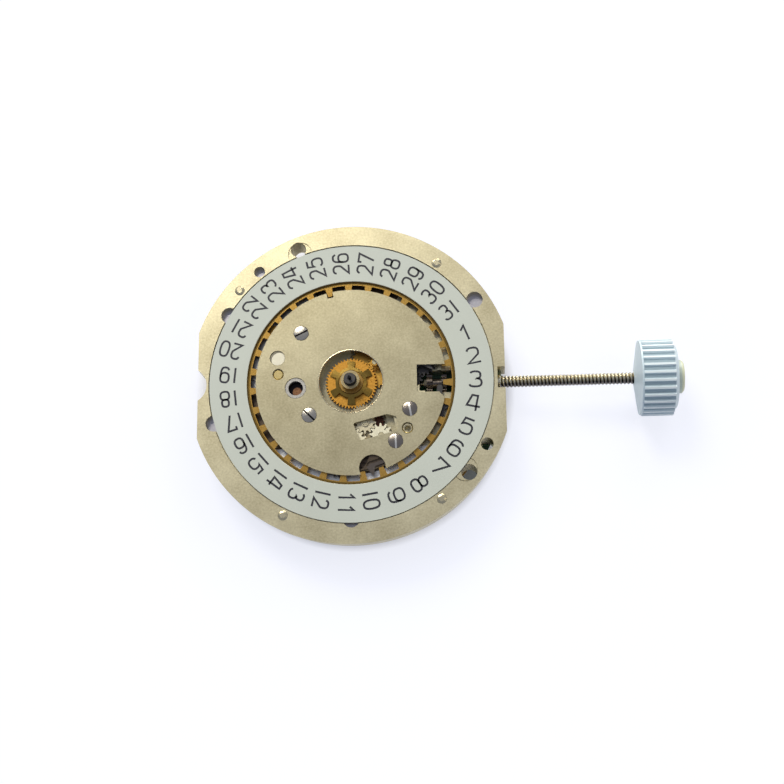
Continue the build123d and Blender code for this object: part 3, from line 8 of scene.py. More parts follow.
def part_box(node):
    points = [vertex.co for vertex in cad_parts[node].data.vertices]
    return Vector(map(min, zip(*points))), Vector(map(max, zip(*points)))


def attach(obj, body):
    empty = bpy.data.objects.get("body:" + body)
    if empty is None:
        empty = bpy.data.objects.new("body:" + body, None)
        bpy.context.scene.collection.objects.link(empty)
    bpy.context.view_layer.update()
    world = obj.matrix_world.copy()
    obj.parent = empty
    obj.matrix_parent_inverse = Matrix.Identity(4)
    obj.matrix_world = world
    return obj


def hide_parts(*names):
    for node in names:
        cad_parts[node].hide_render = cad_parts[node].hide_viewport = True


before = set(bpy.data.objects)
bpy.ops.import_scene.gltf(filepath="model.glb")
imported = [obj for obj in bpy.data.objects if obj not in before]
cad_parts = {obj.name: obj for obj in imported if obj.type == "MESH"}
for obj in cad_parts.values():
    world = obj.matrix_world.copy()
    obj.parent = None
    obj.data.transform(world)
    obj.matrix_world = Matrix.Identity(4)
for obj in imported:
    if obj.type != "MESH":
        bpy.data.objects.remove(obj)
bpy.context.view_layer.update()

# Table sheet: pale matt card, on which the movement leans on its crown and its back edge.
# The card glows faintly blue for the camera and in reflections, though it is no lamp, and its
# glow is turned down round the rim and the crown as a painted shadow.


def paint(red, green, blue):
    """A colour given as it looks on a screen, 0 to 255."""
    shown = [c / 255 for c in (red, green, blue)]
    light = [c / 12.92 if c <= 0.04045 else ((c + 0.055) / 1.055) ** 2.4 for c in shown]
    return (*light, 1.0)


class Flow:
    """A value on its way through a finish. Python's operators add the Math nodes."""

    def __init__(self, finish, socket):
        self.finish = finish
        self.socket = socket

    def maths(self, operation, *others):
        return self.finish.node("ShaderNodeMath", {"operation": operation}, self, *others)

    def __add__(self, other):
        return self.maths("ADD", other)

    def __sub__(self, other):
        return self.maths("SUBTRACT", other)

    def __mul__(self, other):
        return self.maths("MULTIPLY", other)

    def __gt__(self, other):
        return self.maths("GREATER_THAN", other)

    def __lt__(self, other):
        return self.maths("LESS_THAN", other)


class Finish:
    """One finish, or the light of the room: a shader, and the nodes that vary it."""

    def __init__(self, name, kind="ShaderNodeBsdfPrincipled", room=False):
        self.data = (bpy.data.worlds if room else bpy.data.materials).new(name)
        self.data.use_nodes = True
        self.tree = self.data.node_tree
        self.tree.nodes.clear()
        end = self.tree.nodes.new("ShaderNodeOutputWorld" if room else "ShaderNodeOutputMaterial")
        self.shader = self.tree.nodes.new(kind)
        self.tree.links.new(self.shader.outputs[0], end.inputs[0])

    def put(self, sockets, *values, **named):
        """Sets sockets in order or by name: to a number or colour, or from a flow."""
        pairs = list(zip(sockets, values))
        pairs += [(sockets[key.replace("_", " ")], value) for key, value in named.items()]
        for socket, value in pairs:
            if isinstance(value, Flow):
                self.tree.links.new(value.socket, socket)
            elif value is not None:
                socket.default_value = value

    def node(self, kind, settings, *values, out=0, **named):
        """Adds a node, sets it up, fills its sockets, and gives one of its outputs."""
        made = self.tree.nodes.new(kind)
        for key, value in settings.items():
            setattr(made, key, value)
        self.put(made.inputs, *values, **named)
        return Flow(self, made.outputs[out])

    def set(self, *values, **named):
        """Sets the shader's own sockets."""
        self.put(self.shader.inputs, *values, **named)
        return self

    def blend(self, share, first, second):
        """Colour between two, by a share from 0 to 1."""
        return self.node("ShaderNodeMix", {"data_type": "RGBA"}, share, *[None] * 5,
                         first, second, out=2)

    def tint(self, share, colour):
        """Turns the finish's own colour to another, by a share from 0 to 1."""
        own = Flow(self, self.shader.inputs["Base Color"].links[0].from_socket)
        return self.set(Base_Color=self.blend(share, own, colour))

    def span(self, value, first, last, low, high):
        """Runs from low to high while the value runs from first to last."""
        return self.node("ShaderNodeMapRange", {}, value, first, last, low, high)

    def place(self):
        """Point on the piece, in its own frame, in metres."""
        return self.node("ShaderNodeTexCoord", {}, out="Object")

    def axes(self, vector):
        """The three numbers of a vector."""
        first = self.node("ShaderNodeSeparateXYZ", {}, vector)
        return [Flow(self, socket) for socket in first.socket.node.outputs]

    def shift(self, vector, scale):
        """Vector times three numbers."""
        return self.node("ShaderNodeVectorMath", {"operation": "MULTIPLY"}, vector, scale)

    def off(self, x, y):
        """Distance in metres from a line along the hands' axis through a spot."""
        flat = self.shift(self.place(), (1.0, 1.0, 0.0))
        return self.node("ShaderNodeVectorMath", {"operation": "DISTANCE"}, flat, (x, y, 0.0),
                         out="Value")

    def grain(self, vector, size, detail=3.0):
        """Cloudy noise whose features are about that size in metres."""
        return self.node("ShaderNodeTexNoise", {}, Vector=vector, Scale=1.0 / size, Detail=detail,
                         Roughness=0.6)

    def bump(self, height, strength, depth):
        """Normal of a height map, its depth in metres."""
        return self.node("ShaderNodeBump", {}, Strength=strength, Distance=depth, Height=height)


sheet = Finish("pale_sheet", "ShaderNodeMixShader")
shade_edge = 0.0120
rim_edge = 0.0131
crown_middle = 0.0245
crown_edge = 0.0032
from_rim = sheet.off(0.0, 0.0) - rim_edge
from_crown = sheet.off(crown_middle, 0.0) - crown_edge
# Painted shadow: the glow's share is low under the movement and rises past the rim and the crown.
glow_in_painted_shadow = sheet.span(from_rim, shade_edge - rim_edge, 0.0, 0.05, 0.74)
glow_past_painted_shadow = sheet.span(from_rim.maths("MINIMUM", from_crown), 0.0, 0.0075, 0.0, 0.22)
seen_share = sheet.node("ShaderNodeLightPath", {}, out="Is Camera Ray").maths(
    "MAXIMUM", sheet.node("ShaderNodeLightPath", {}, out="Is Glossy Ray") * 0.67)
glow = sheet.node("ShaderNodeEmission", {}, (0.9, 0.918, 1.0, 1.0), 1.12)
hole_x, hole_y = 0.00915, -0.00684
# Painted shadow: a dark patch on the card under a hole near the rim.
painted_hole_shadow = sheet.span(sheet.off(hole_x, hole_y), 0.0007, 0.0014, 1.0, 0.0)
card_colour = sheet.blend(painted_hole_shadow, paint(250, 250, 252), paint(112, 118, 116))
card = sheet.node("ShaderNodeBsdfDiffuse", {}, card_colour)
sheet.set(seen_share * (glow_in_painted_shadow + glow_past_painted_shadow), card, glow)
half = 0.6
floor_low = -0.003650
lean_x = -0.0457
lean_y = 0.0372
corners = ((-half, -half), (half, -half), (half, half), (-half, half))
floor_mesh = bpy.data.meshes.new("table_sheet")
floor_mesh.from_pydata([(x, y, floor_low + lean_x * x + lean_y * y) for x, y in corners],
                       [], [(0, 1, 2, 3)])
floor_mesh.materials.append(sheet.data)
floor = bpy.data.objects.new("table_sheet", floor_mesh)
bpy.context.collection.objects.link(floor)

# Light: a soft lamp high behind on the left, one low behind, and a weak warm one on the right.
# The room's walls give a faint blue light, and a white one where they are seen past the sheet.


def lamp(name, place, size, power, colour):
    """Square soft lamp at a place in metres, turned to the movement."""
    data = bpy.data.lights.new(name, "AREA")
    data.shape = "SQUARE"
    data.size = size
    data.energy = power
    data.color = colour
    made = bpy.data.objects.new(name, data)
    made.location = place
    made.rotation_euler = (-Vector(place)).to_track_quat("-Z", "Y").to_euler()
    bpy.context.collection.objects.link(made)


lamp("sky_lamp", (-0.12, 0.26, 0.32), 0.16, 1.15, (1.0, 0.95, 0.84))
lamp("far_lamp", (0.08, 0.34, 0.09), 0.12, 0.7, (1.0, 0.98, 0.94))
lamp("side_lamp", (0.30, 0.02, 0.22), 0.14, 0.2, (1.0, 0.88, 0.62))
room = Finish("room", "ShaderNodeMixShader", room=True)
room.set(room.node("ShaderNodeLightPath", {}, out="Is Camera Ray"),
         room.node("ShaderNodeBackground", {}, (0.74, 0.80, 1.0, 1.0), 0.42),
         room.node("ShaderNodeBackground", {}, (0.985, 0.992, 1.0, 1.0), 1.0))
bpy.context.scene.world = room.data
bpy.context.scene.view_settings.view_transform = "Standard"

# Camera: held by hand about 0.11 m above the movement and a little below its middle.
# Its lens is long enough to keep the rim nearly round.
film = 36.0
camera_data = bpy.data.cameras.new("camera")
camera_data.sensor_width = film
camera_data.lens = film * 1400.0 / 784.0
camera_data.clip_start = 0.005
camera = bpy.data.objects.new("camera", camera_data)
camera.matrix_world = Matrix((
    (0.99773, 0.02834, 0.06137, 0.010082),
    (-0.01257, 0.96986, -0.24340, -0.027946),
    (-0.06642, 0.24207, 0.96798, 0.107175),
    (0.0, 0.0, 0.0, 1.0),
))
bpy.context.collection.objects.link(camera)
bpy.context.scene.camera = camera

# Main plate: stamped and milled brass, nickel plated with a warm tint and a fine satin grain.
# Its floors are painted with shade: cool grey inside the rim, and darker between the ring's teeth
# on the shaded side, round the hands and at the nose of the date jumper. On the lit side the
# teeth's gaps are painted near white as light.


def wear(finish, *nodes):
    """Gives a finish to pieces of the frame."""
    for name in nodes:
        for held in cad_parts[name].material_slots:
            held.material = finish.data


def centre(node):
    """Middle of a node's box, in metres."""
    return [(low + high) / 2 for low, high in zip(*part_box(node))]


def nickel(name, light, dark, rough):
    """Satin plating with faint clouds in it."""
    made = Finish(name)
    at = made.place()
    fine = made.grain(at, 0.00016)
    cloud = made.grain(at, 0.004)
    share = (fine - 0.5) + (cloud - 0.5) * 1.3 + 0.52
    return made.set(Base_Color=made.blend(share, dark, light), Metallic=0.8,
                    Roughness=fine * 0.05 + (rough - 0.02), Normal=made.bump(fine, 0.12, 0.00002))


plate = nickel("champagne_nickel", paint(228, 219, 182), paint(172, 161, 126), 0.34)
plate_x, plate_y, plate_z = plate.axes(plate.place())
plate_far = plate.off(0.0, 0.0)
plate_up = plate.axes(plate.node("ShaderNodeTexCoord", {}, out="Normal"))[2] > 0.7


def floors(inner, outer, depth):
    """Floors of the main plate between two radii, lying below a depth."""
    return (plate_far > inner) * (plate_far < outer) * (plate_z < depth) * plate_up


rim_floor_painted_shade = floors(0.0108, 0.0126, -0.0004)
tooth_gaps = floors(0.0073, 0.0085, -0.00024)
hands_well_painted_shade = floors(0.0016, 0.0026, -0.0003)
jumper_far = 0.0072
jumper_turn = math.radians(-77.3)
jumper_spot = (jumper_far * math.cos(jumper_turn), jumper_far * math.sin(jumper_turn))
jumper_nook_painted_shade = (plate.off(*jumper_spot) < 0.00115) * floors(0.0, 0.0074, -0.00018)
bush_x, bush_y, _ = centre("steel_bush")
under_bush = (plate.off(bush_x, bush_y) < 0.0007) * plate_up
shaded_side = plate_y * 0.7 - plate_x > 0.0012
lit_side = plate_y < -0.0052
# Painted shade on the floors, and a painted highlight in the teeth's gaps on the lit side.
plate.tint(rim_floor_painted_shade, paint(184, 182, 188))
plate.tint(tooth_gaps * shaded_side * 0.85, paint(58, 30, 28))
plate.tint(tooth_gaps * lit_side, paint(250, 249, 242))
plate.tint(hands_well_painted_shade * 0.55, paint(104, 98, 80))
plate.tint(jumper_nook_painted_shade * 0.9, paint(62, 46, 40))
plate.tint(under_bush, paint(92, 44, 30))
wear(plate, "main_plate")

# Retaining plate and train bridge: thinner brass plates, pressed to shape and nickel plated
# like the main plate, to which their screws hold them.
cover = nickel("cover_nickel", paint(218, 208, 170), paint(166, 155, 120), 0.3)
wear(cover, "retainer_plate", "train_bridge")

# Broken edges of the retaining plate: the press leaves a narrow bevel round the bore and along
# the left of its rim, in nickel painted lighter than the plate's as a highlight. Each is a thin
# strip that lies on the plate's own edge.
mm = 0.001


def skin(shape, rows, closed=False):
    """Joins rows of points, each to the next, into a solid with flat ends or a closed ring."""
    points, faces = shape
    start, wide, count = len(points), len(rows[0]), len(rows)
    for row in rows:
        points.extend(row)
    for i in range(count if closed else count - 1):
        here = start + i * wide
        there = start + (i + 1) % count * wide
        for k in range(wide):
            n = (k + 1) % wide
            faces.append((here + k, here + n, there + n, there + k))
    if not closed:
        last = start + (count - 1) * wide
        faces.append(tuple(range(start, start + wide)))
        faces.append(tuple(range(last + wide - 1, last - 1, -1)))


def piece(name, shape, finish, body, smooth=False):
    """New piece from points in millimetres and faces, riding on a body."""
    points, faces = shape
    mesh = bpy.data.meshes.new(name)
    mesh.from_pydata([tuple(c * mm for c in point) for point in points], [], faces)
    mesh.validate()
    outward = bmesh.new()
    outward.from_mesh(mesh)
    bmesh.ops.recalc_face_normals(outward, faces=outward.faces)
    outward.to_mesh(mesh)
    outward.free()
    for face in mesh.polygons:
        face.use_smooth = smooth
    mesh.materials.append(finish.data)
    made = bpy.data.objects.new(name, mesh)
    bpy.context.collection.objects.link(made)
    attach(made, body)
    return made


# Painted highlight: this nickel is lighter than the plate's.
painted_highlight_bevel = nickel("bevel_nickel_painted_highlight", paint(244, 238, 210), paint(214, 204, 168), 0.22)
cover_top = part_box("retainer_plate")[1].z / mm
bore_profile = ((2.60, 0.004), (2.60, -0.01), (2.535, -0.09), (2.525, -0.075))
rim_profile = ((7.54, 0.004), (7.54, -0.01), (7.595, -0.06), (7.6, -0.045))
steps = 96
bevels = [], []
for profile, first, last in ((bore_profile, 0, 360), (rim_profile, 113, 238)):
    closed = last - first == 360
    rows = []
    for k in range(steps if closed else steps + 1):
        a = math.radians(first + (last - first) * k / steps)
        rows.append([(radius * math.cos(a), radius * math.sin(a), cover_top + drop)
                     for radius, drop in profile])
    skin(bevels, rows, closed)
piece("plate_bevels", bevels, painted_highlight_bevel, "movement", smooth=True)

# Pins, clamp and small steel parts: turned or punched steel, pressed or hooked into the plate.
# The pins are polished or nickelled, and the levers, springs and wheels of the keyless work
# are left in the dark grey of hardening.


def steel(name, light, dark, rough, metal=1.0):
    """Steel with fine turning streaks and faint clouds."""
    made = Finish(name)
    at = made.place()
    streak = made.grain(made.shift(at, (1.0, 6.0, 1.0)), 0.00012, 4.0)
    share = streak * 0.6 + made.grain(at, 0.0015, 2.0) * 0.4
    return made.set(Base_Color=made.blend(share, dark, light), Metallic=metal,
                    Roughness=streak * 0.18 + rough, Normal=made.bump(streak, 0.2, 0.00001))


polished = steel("bright_steel", paint(226, 224, 216), paint(170, 168, 160), 0.2)
wear(polished, "jumper_pin", "battery_clamp", "quartz_can")
nickelled = steel("pin_champagne", paint(232, 222, 188), paint(176, 166, 132), 0.2)
wear(nickelled, "rim_pins", "eyelet")
sprung = steel("spring_steel", paint(120, 112, 104), paint(66, 58, 54), 0.25)
wear(sprung, "date_jumper", "sliding_pinion")
hardened = steel("dark_steel", paint(96, 94, 92), paint(48, 47, 48), 0.3, 0.9)
wear(hardened, "dial_foot_clips", "setting_lever", "yoke", "yoke_spring", "date_corrector",
     "date_finger", "setting_wheel", "rotor_magnet", "cannon_pinion")

# Bush: a bright steel tube pressed into the main plate. Old oil has stained its bore brown,
# and the far side of the bore is painted dark as shade.
bush = Finish("bush_steel")
bush_place = bush.place()
bush_fine = bush.grain(bush_place, 0.00012, 4.0)
in_bore = bush.axes(bush_place)[2] < -0.00045
oiled = bush.off(bush_x + 0.00005, bush_y - 0.00016) < 0.00036
bush.set(Base_Color=bush.blend(bush_fine, paint(160, 156, 146), paint(214, 210, 200)),
         Metallic=0.8, Roughness=bush_fine * 0.2 + 0.2)
# Painted shade: the bore goes near black below its mouth, save the oil stain.
bush.tint(in_bore, paint(30, 24, 26))
bush.tint(in_bore * oiled, bush.blend(bush_fine, paint(112, 76, 52), paint(168, 122, 86)))
wear(bush, "steel_bush")

# Screws: turned steel with polished, faintly domed heads. Their slots are sawn, and painted dark
# as shade on most heads; on the heads on the right the steel is painted darker as shade and the
# slots pale as a glint.


def middles(node):
    """Middle of each screw of a node, seen along the hands' axis."""
    nearest = 0.0006
    whole = bmesh.new()
    whole.from_mesh(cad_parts[node].data)
    left = set(whole.verts)
    parts = []
    while left:
        loop = [left.pop()]
        group = list(loop)
        while loop:
            for edge in loop.pop().link_edges:
                for vert in edge.verts:
                    if vert in left:
                        left.remove(vert)
                        loop.append(vert)
                        group.append(vert)
        xs = [vert.co.x for vert in group]
        ys = [vert.co.y for vert in group]
        wide = max(xs) - min(xs) + max(ys) - min(ys)
        parts.append((-wide, (min(xs) + max(xs)) / 2, (min(ys) + max(ys)) / 2))
    whole.free()
    # A screw's faces are separate parts, so the widest of them, its round edge, tells first.
    found = []
    for _, *spot in sorted(parts):
        if all(math.dist(spot, other) > nearest for other in found):
            found.append(spot)
    return found


def slotted(node, up, shaded=1.0):
    """Screw steel with slots painted dark as shade. up is 1 where the heads face the dial, else
    -1.

    Past shaded, in metres along x, the heads are painted darker as shade and their slots pale as
    a painted glint.
    """
    made = Finish(node + "_steel")
    at = made.place()
    low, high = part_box(node)
    slot_edge = (high.z if up > 0 else -low.z) - 0.00005
    x, _, z = made.axes(at)
    streak = made.grain(made.shift(at, (1.0, 6.0, 1.0)), 0.00012, 4.0)
    head = made.blend(streak, paint(128, 123, 114), paint(214, 208, 194))
    # Painted shade on the heads past shaded, and a painted glint in their slots; elsewhere the
    # slots are painted dark as shade.
    head = made.blend((x > shaded) * 0.6, head, paint(96, 84, 78))
    slot_shade_and_glint = made.blend(x > shaded, paint(38, 35, 34), paint(240, 236, 224))
    spots = [made.off(*spot) for spot in middles(node)]
    near = spots[0]
    for spot in spots[1:]:
        near = near.maths("MINIMUM", spot)
    roundness = -1800.0
    dome = near * near * roundness + streak * 0.00001
    made.set(Base_Color=made.blend(z * up < slot_edge, head, slot_shade_and_glint), Metallic=0.92,
             Roughness=streak * 0.14 + 0.16, Normal=made.bump(dome, 1.0, 0.1))
    wear(made, node)


slotted("retainer_screws", 1, shaded=0.002)
for node in ("motor_screws", "clamp_screws", "board_screws", "bridge_screws"):
    slotted(node, -1)

# Locating post: a nickel plated disc in the retaining plate, which sets its place.
# It is pale on its face, with a crescent of painted shadow on its upper left where it goes down
# into the plate.
post = steel("post_nickel", paint(236, 232, 210), paint(200, 194, 170), 0.25, 0.7)
post_x, post_y, _ = centre("locating_post")
# Painted shadow: a dark crescent on the upper left of the disc.
post_painted_shadow = post.off(post_x + 0.00012, post_y - 0.00015) > 0.0006
post.tint(post_painted_shadow * 0.8, paint(84, 78, 62))
wear(post, "locating_post")

# Wheels of the train and brass post: brass, the wheels stamped and cut with teeth, the post
# turned. All are gilt, with faint marks of the tools.


def gilt(name, light, dark, rough):
    """Gilt brass with fine marks and faint clouds."""
    made = Finish(name)
    at = made.place()
    streak = made.grain(at, 0.00015, 4.0)
    share = streak * 0.5 + made.grain(at, 0.002, 2.0) * 0.5
    return made.set(Base_Color=made.blend(share, dark, light), Metallic=0.9,
                    Roughness=streak * 0.2 + rough, Normal=made.bump(streak, 0.2, 0.00001))


wheel_brass = gilt("wheel_brass", paint(236, 188, 92), paint(178, 126, 44), 0.22)
wear(wheel_brass, "centre_wheel", "third_wheel", "intermediate_wheel", "minute_wheel",
     "battery_contact")
post_brass = gilt("post_brass", paint(206, 188, 132), paint(160, 142, 92), 0.25)
wear(post_brass, "brass_post")

# Date wheel and mark wheel: nickelled brass, cut with teeth. The date wheel is painted dark as
# shade on the side under the notch, and the mark wheel on its flanks, between its two faces.
date_nickel = gilt("wheel_nickel", paint(244, 238, 212), paint(206, 196, 160), 0.3)
# Painted shade on the side under the notch.
notch_painted_shade = date_nickel.axes(date_nickel.place())[1] < -0.0057
date_nickel.tint(notch_painted_shade * 0.95, paint(66, 50, 44))
wear(date_nickel, "date_wheel")
mark_nickel = gilt("mark_nickel", paint(244, 240, 216), paint(214, 206, 172), 0.3)
mark_z = mark_nickel.axes(mark_nickel.place())[2]
mark_low, mark_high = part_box("mark_wheel")
# Painted shade on the flanks between the faces.
flanks = (mark_z < mark_high.z - 0.00003) * (mark_z > mark_low.z + 0.00002)
mark_nickel.tint(flanks, paint(40, 32, 30))
wear(mark_nickel, "mark_wheel")

# Date idler: a bronze wheel under a nickelled pinion, riveted together. Its teeth are pale on
# the left, and painted dark reddish brown as shade on the right.
# Painted shade: the wheel is dark reddish brown, save on its left and on its pinion.
idler = gilt("idler_bronze_painted_shade", paint(112, 74, 58), paint(58, 36, 32), 0.3)
idler_x, _, idler_z = idler.axes(idler.place())
idler_fine = idler.grain(idler.place(), 0.0002)
painted_shade_from = centre("date_idler")[0] + 0.00075
idler.tint(idler_x < painted_shade_from, idler.blend(idler_fine, paint(150, 136, 106), paint(182, 168, 134)))
pinion = idler_z > -0.00075
idler.tint(pinion, idler.blend(idler_fine, paint(186, 176, 144), paint(226, 217, 186)))
wear(idler, "date_idler")

# Dial washer: thin brass foil punched into six bent arms, which press the hour wheel down
# from under the dial.
foil = gilt("washer_foil", paint(168, 138, 66), paint(104, 82, 34), 0.25)
wear(foil, "dial_washer")

# Hour wheel: a gilt brass disc with a pipe for the hour hand, turned from one piece.
# The pipe is duller than the disc, and its rim is paler.
hour = Finish("hour_wheel_brass")
hour_at = hour.place()
hour_z = hour.axes(hour_at)[2]
hour_fine = hour.grain(hour_at, 0.00015, 4.0)
hour.set(Base_Color=hour.blend(hour_fine, paint(186, 124, 36), paint(232, 176, 80)),
         Metallic=0.9, Roughness=hour_fine * 0.2 + 0.22)
disc_top = -0.00072
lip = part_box("hour_wheel")[1].z - 0.00012
hour.tint(hour_z > disc_top, hour.blend(hour_fine, paint(132, 102, 48), paint(188, 152, 86)))
hour.tint(hour_z > lip, hour.blend(hour_fine, paint(150, 132, 92), paint(200, 182, 138)))
wear(hour, "hour_wheel")

# Seconds wheel: a gilt brass wheel pressed on a blackened steel arbor, whose tip stands in
# the pipe and carries the seconds hand.
arbor = Finish("seconds_arbor")
arbor_at = arbor.place()
arbor_fine = arbor.grain(arbor_at, 0.00015, 4.0)
arbor.set(Base_Color=arbor.blend(arbor_fine, paint(178, 126, 44), paint(236, 188, 92)),
          Metallic=0.9, Roughness=arbor_fine * 0.15 + 0.2)
above_wheel = arbor.axes(arbor_at)[2] > -0.0012
arbor.tint(above_wheel, arbor.blend(arbor_fine, paint(20, 20, 22), paint(52, 52, 54)))
wear(arbor, "seconds_wheel")

# Date ring: turned brass with 31 inner teeth. Its flat face is spray-painted a cool grey
# white, and the teeth are left gilt, duller at their roots.
ring = Finish("painted_ring")
ring_at = ring.place()
ring_z = ring.axes(ring_at)[2]
ring_far = ring.off(0.0, 0.0)
ring_fine = ring.grain(ring_at, 0.00012)
ring_cloud = ring.grain(ring_at, 0.005, 2.0)
tooth_root = 0.00812
paint_edge = 0.00832
painted = (ring_far > paint_edge) * (ring_z > -0.00012)
tooth_colour = ring.blend(ring_fine, paint(160, 116, 38), paint(232, 188, 100))
root_colour = ring.blend(ring_fine, paint(104, 80, 34), paint(156, 126, 62))
cloudy = ring_fine * 0.4 + ring_cloud * 0.6
ring.set(Base_Color=ring.blend(ring_far > tooth_root, tooth_colour, root_colour),
         Metallic=painted * -0.9 + 0.9, Roughness=painted * 0.22 + 0.25,
         Normal=ring.bump(ring_fine, 0.15, 0.00001))
ring.tint(painted, ring.blend(cloudy, paint(184, 190, 177), paint(203, 208, 196)))
wear(ring, "date_ring")

# Day numbers: thin strokes of navy ink, pad-printed on the ring's paint and read from outside
# it. The pad slipped a little on the left of the ring, and lagged over the first six days.


def speckled(name, size, dark, light, **others):
    """Finish whose colour varies between two, in grains of a size in metres."""
    made = Finish(name)
    fine = made.grain(made.place(), size)
    return made.set(Base_Color=made.blend(fine, dark, light), **others)


def bow(cx, cy, rx, ry, first, last, count):
    """Points along an arc of a squarish oval in a digit's box, by its angles in degrees."""
    squarish = 0.76
    spots = []
    for i in range(count + 1):
        a = math.radians(first + (last - first) * i / count)
        u, v = math.cos(a), math.sin(a)
        spots.append((cx + rx * math.copysign(abs(u) ** squarish, u),
                      cy + ry * math.copysign(abs(v) ** squarish, v)))
    return spots


def ribbon(shape, path, width, low, high):
    """Flat raised strip along a path, with mitred bends. It closes where the path does."""
    closed = math.dist(path[0], path[-1]) < width * 0.05
    longest_mitre = 0.45
    spots = path[:-1] if closed else path
    count = len(spots)
    rows = []
    for i, (x, y) in enumerate(spots):
        before = spots[i - 1] if (i or closed) else spots[0]
        after = spots[(i + 1) % count] if (i + 1 < count or closed) else spots[-1]
        ways = []
        for (ax, ay), (bx, by) in ((before, (x, y)), ((x, y), after)):
            length = math.hypot(bx - ax, by - ay)
            if length > 0:
                ways.append(((bx - ax) / length, (by - ay) / length))
        tx = sum(way[0] for way in ways)
        ty = sum(way[1] for way in ways)
        size = math.hypot(tx, ty) or 1.0
        tx, ty = tx / size, ty / size
        turn = abs(tx * ways[0][0] + ty * ways[0][1])
        reach = width / 2 / max(longest_mitre, turn)
        rows.append([(x - ty * reach * side, y + tx * reach * side, z)
                     for side, z in ((1, low), (1, high), (-1, high), (-1, low))])
    skin(shape, rows, closed)


ink = speckled("number_ink", 0.0002, paint(14, 14, 24), paint(32, 33, 46), Roughness=0.5)
digits = {
    "0": [bow(0.5, 0.5, 0.45, 0.5, 90, 450, 24)],
    "1": [[(0.5, 1.0), (0.5, 0.0)]],
    "flagged 1": [[(0.22, 0.74), (0.56, 1.0), (0.56, 0.0)]],
    "2": [bow(0.5, 0.7, 0.42, 0.3, 165, -30, 12) + [(0.06, 0.0), (0.98, 0.0)]],
    "3": [bow(0.46, 0.76, 0.38, 0.24, 155, -80, 12) + bow(0.46, 0.27, 0.46, 0.27, 80, -160, 14)],
    "4": [[(0.72, 0.0), (0.72, 1.0), (0.3, 1.0), (0.02, 0.3), (1.0, 0.3)]],
    "5": [[(0.88, 1.0), (0.2, 1.0)] + bow(0.48, 0.34, 0.46, 0.34, 140, -155, 16)],
    "6": [bow(0.52, 0.58, 0.44, 0.42, 30, 170, 12) + bow(0.5, 0.32, 0.45, 0.32, 180, 540, 24)],
    "7": [[(0.04, 0.8), (0.04, 1.0), (0.96, 1.0), (0.34, 0.0)]],
    "8": [bow(0.5, 0.76, 0.36, 0.24, -90, 270, 20), bow(0.5, 0.27, 0.46, 0.27, 90, 450, 22)],
    "9": [bow(0.48, 0.42, 0.44, 0.42, 210, 350, 12) + bow(0.5, 0.68, 0.45, 0.32, 0, 360, 24)],
}
paint_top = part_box("date_ring")[1].z / mm
ink_low, ink_high = paint_top - 0.004, paint_top + 0.005
pen = 0.16
tall = 1.24
numbers = [], []
for day in range(1, 32):
    word = str(day)
    lag = max(0.0, 2.1 - 0.3 * day)
    turn = math.radians(0.55 - lag - (day - 3) * 360 / 31)
    # The teens stand further in than the others, and a 1 stands close to its neighbour.
    wide = 1.08 if day < 10 else 0.76
    rim = 9.93 if day < 10 else 9.7 if day == 11 else 9.54 if day < 20 else 9.86
    step = 0.82 if "1" in word and day != 11 else 0.98
    slip_x = -0.26 * math.exp(-((day - 22) / 5.5) ** 2)
    slip_y = -0.1 if 9 < day < 20 else 0.0
    for i, digit in enumerate(word):
        middle = rim + (i - (len(word) - 1) / 2) * step
        for stroke in digits["flagged 1" if day in (1, 11) else digit]:
            path = []
            for u, v in stroke:
                along = middle + (u - 0.5) * wide
                across = (v - 0.5) * tall
                path.append((along * math.cos(turn) - across * math.sin(turn) + slip_x,
                             along * math.sin(turn) + across * math.cos(turn) + slip_y))
            ribbon(numbers, path, pen, ink_low, ink_high)
piece("day_numbers", numbers, ink, "date_ring")

# Setting stem: a steel pin turned with a pilot, a square, a grooved shank and a long rod.
# The rod's thread is cut with a die, so its grooves run as one helix. Its near side and the
# roots of its thread are painted dark as shade.
square_mm = 1000000.0
stem_height = centre("stem")[2]
stem_z = stem_height / mm
rod = Finish("threaded_rod")
rod_place = rod.place()
_, rod_y, rod_up = rod.axes(rod_place)
rod_deep = rod_up - stem_height
rod_far_squared = (rod_y * rod_y + rod_deep * rod_deep) * square_mm
rod_fine = rod.grain(rod_place, 0.0004, 2.0)
# Painted shade on the rod's near side, and in the roots of its thread.
near_side_painted_shade = rod.span(rod_y * 0.97 + rod_deep * 0.24, -0.0002, 0.00004, 1.0, 0.0)
crest_colour = rod.blend(rod_fine, paint(196, 188, 162), paint(238, 230, 202))
crest_colour = rod.blend(near_side_painted_shade * 0.8, crest_colour, paint(74, 68, 80))
groove_colour = rod.blend(near_side_painted_shade, paint(128, 118, 94), paint(16, 13, 20))
crest_edge = 0.185
rod.set(Base_Color=rod.blend(rod_far_squared > crest_edge, groove_colour, crest_colour),
        Metallic=0.95, Roughness=0.24)


def turned(shape, sections, count=32):
    """Solid turned about the stem's axis, from places along it and radii."""
    rows = []
    for x, radius in sections:
        turns = [2 * math.pi * k / count for k in range(count)]
        rows.append([(x, radius * math.cos(a), stem_z + radius * math.sin(a)) for a in turns])
    skin(shape, rows)


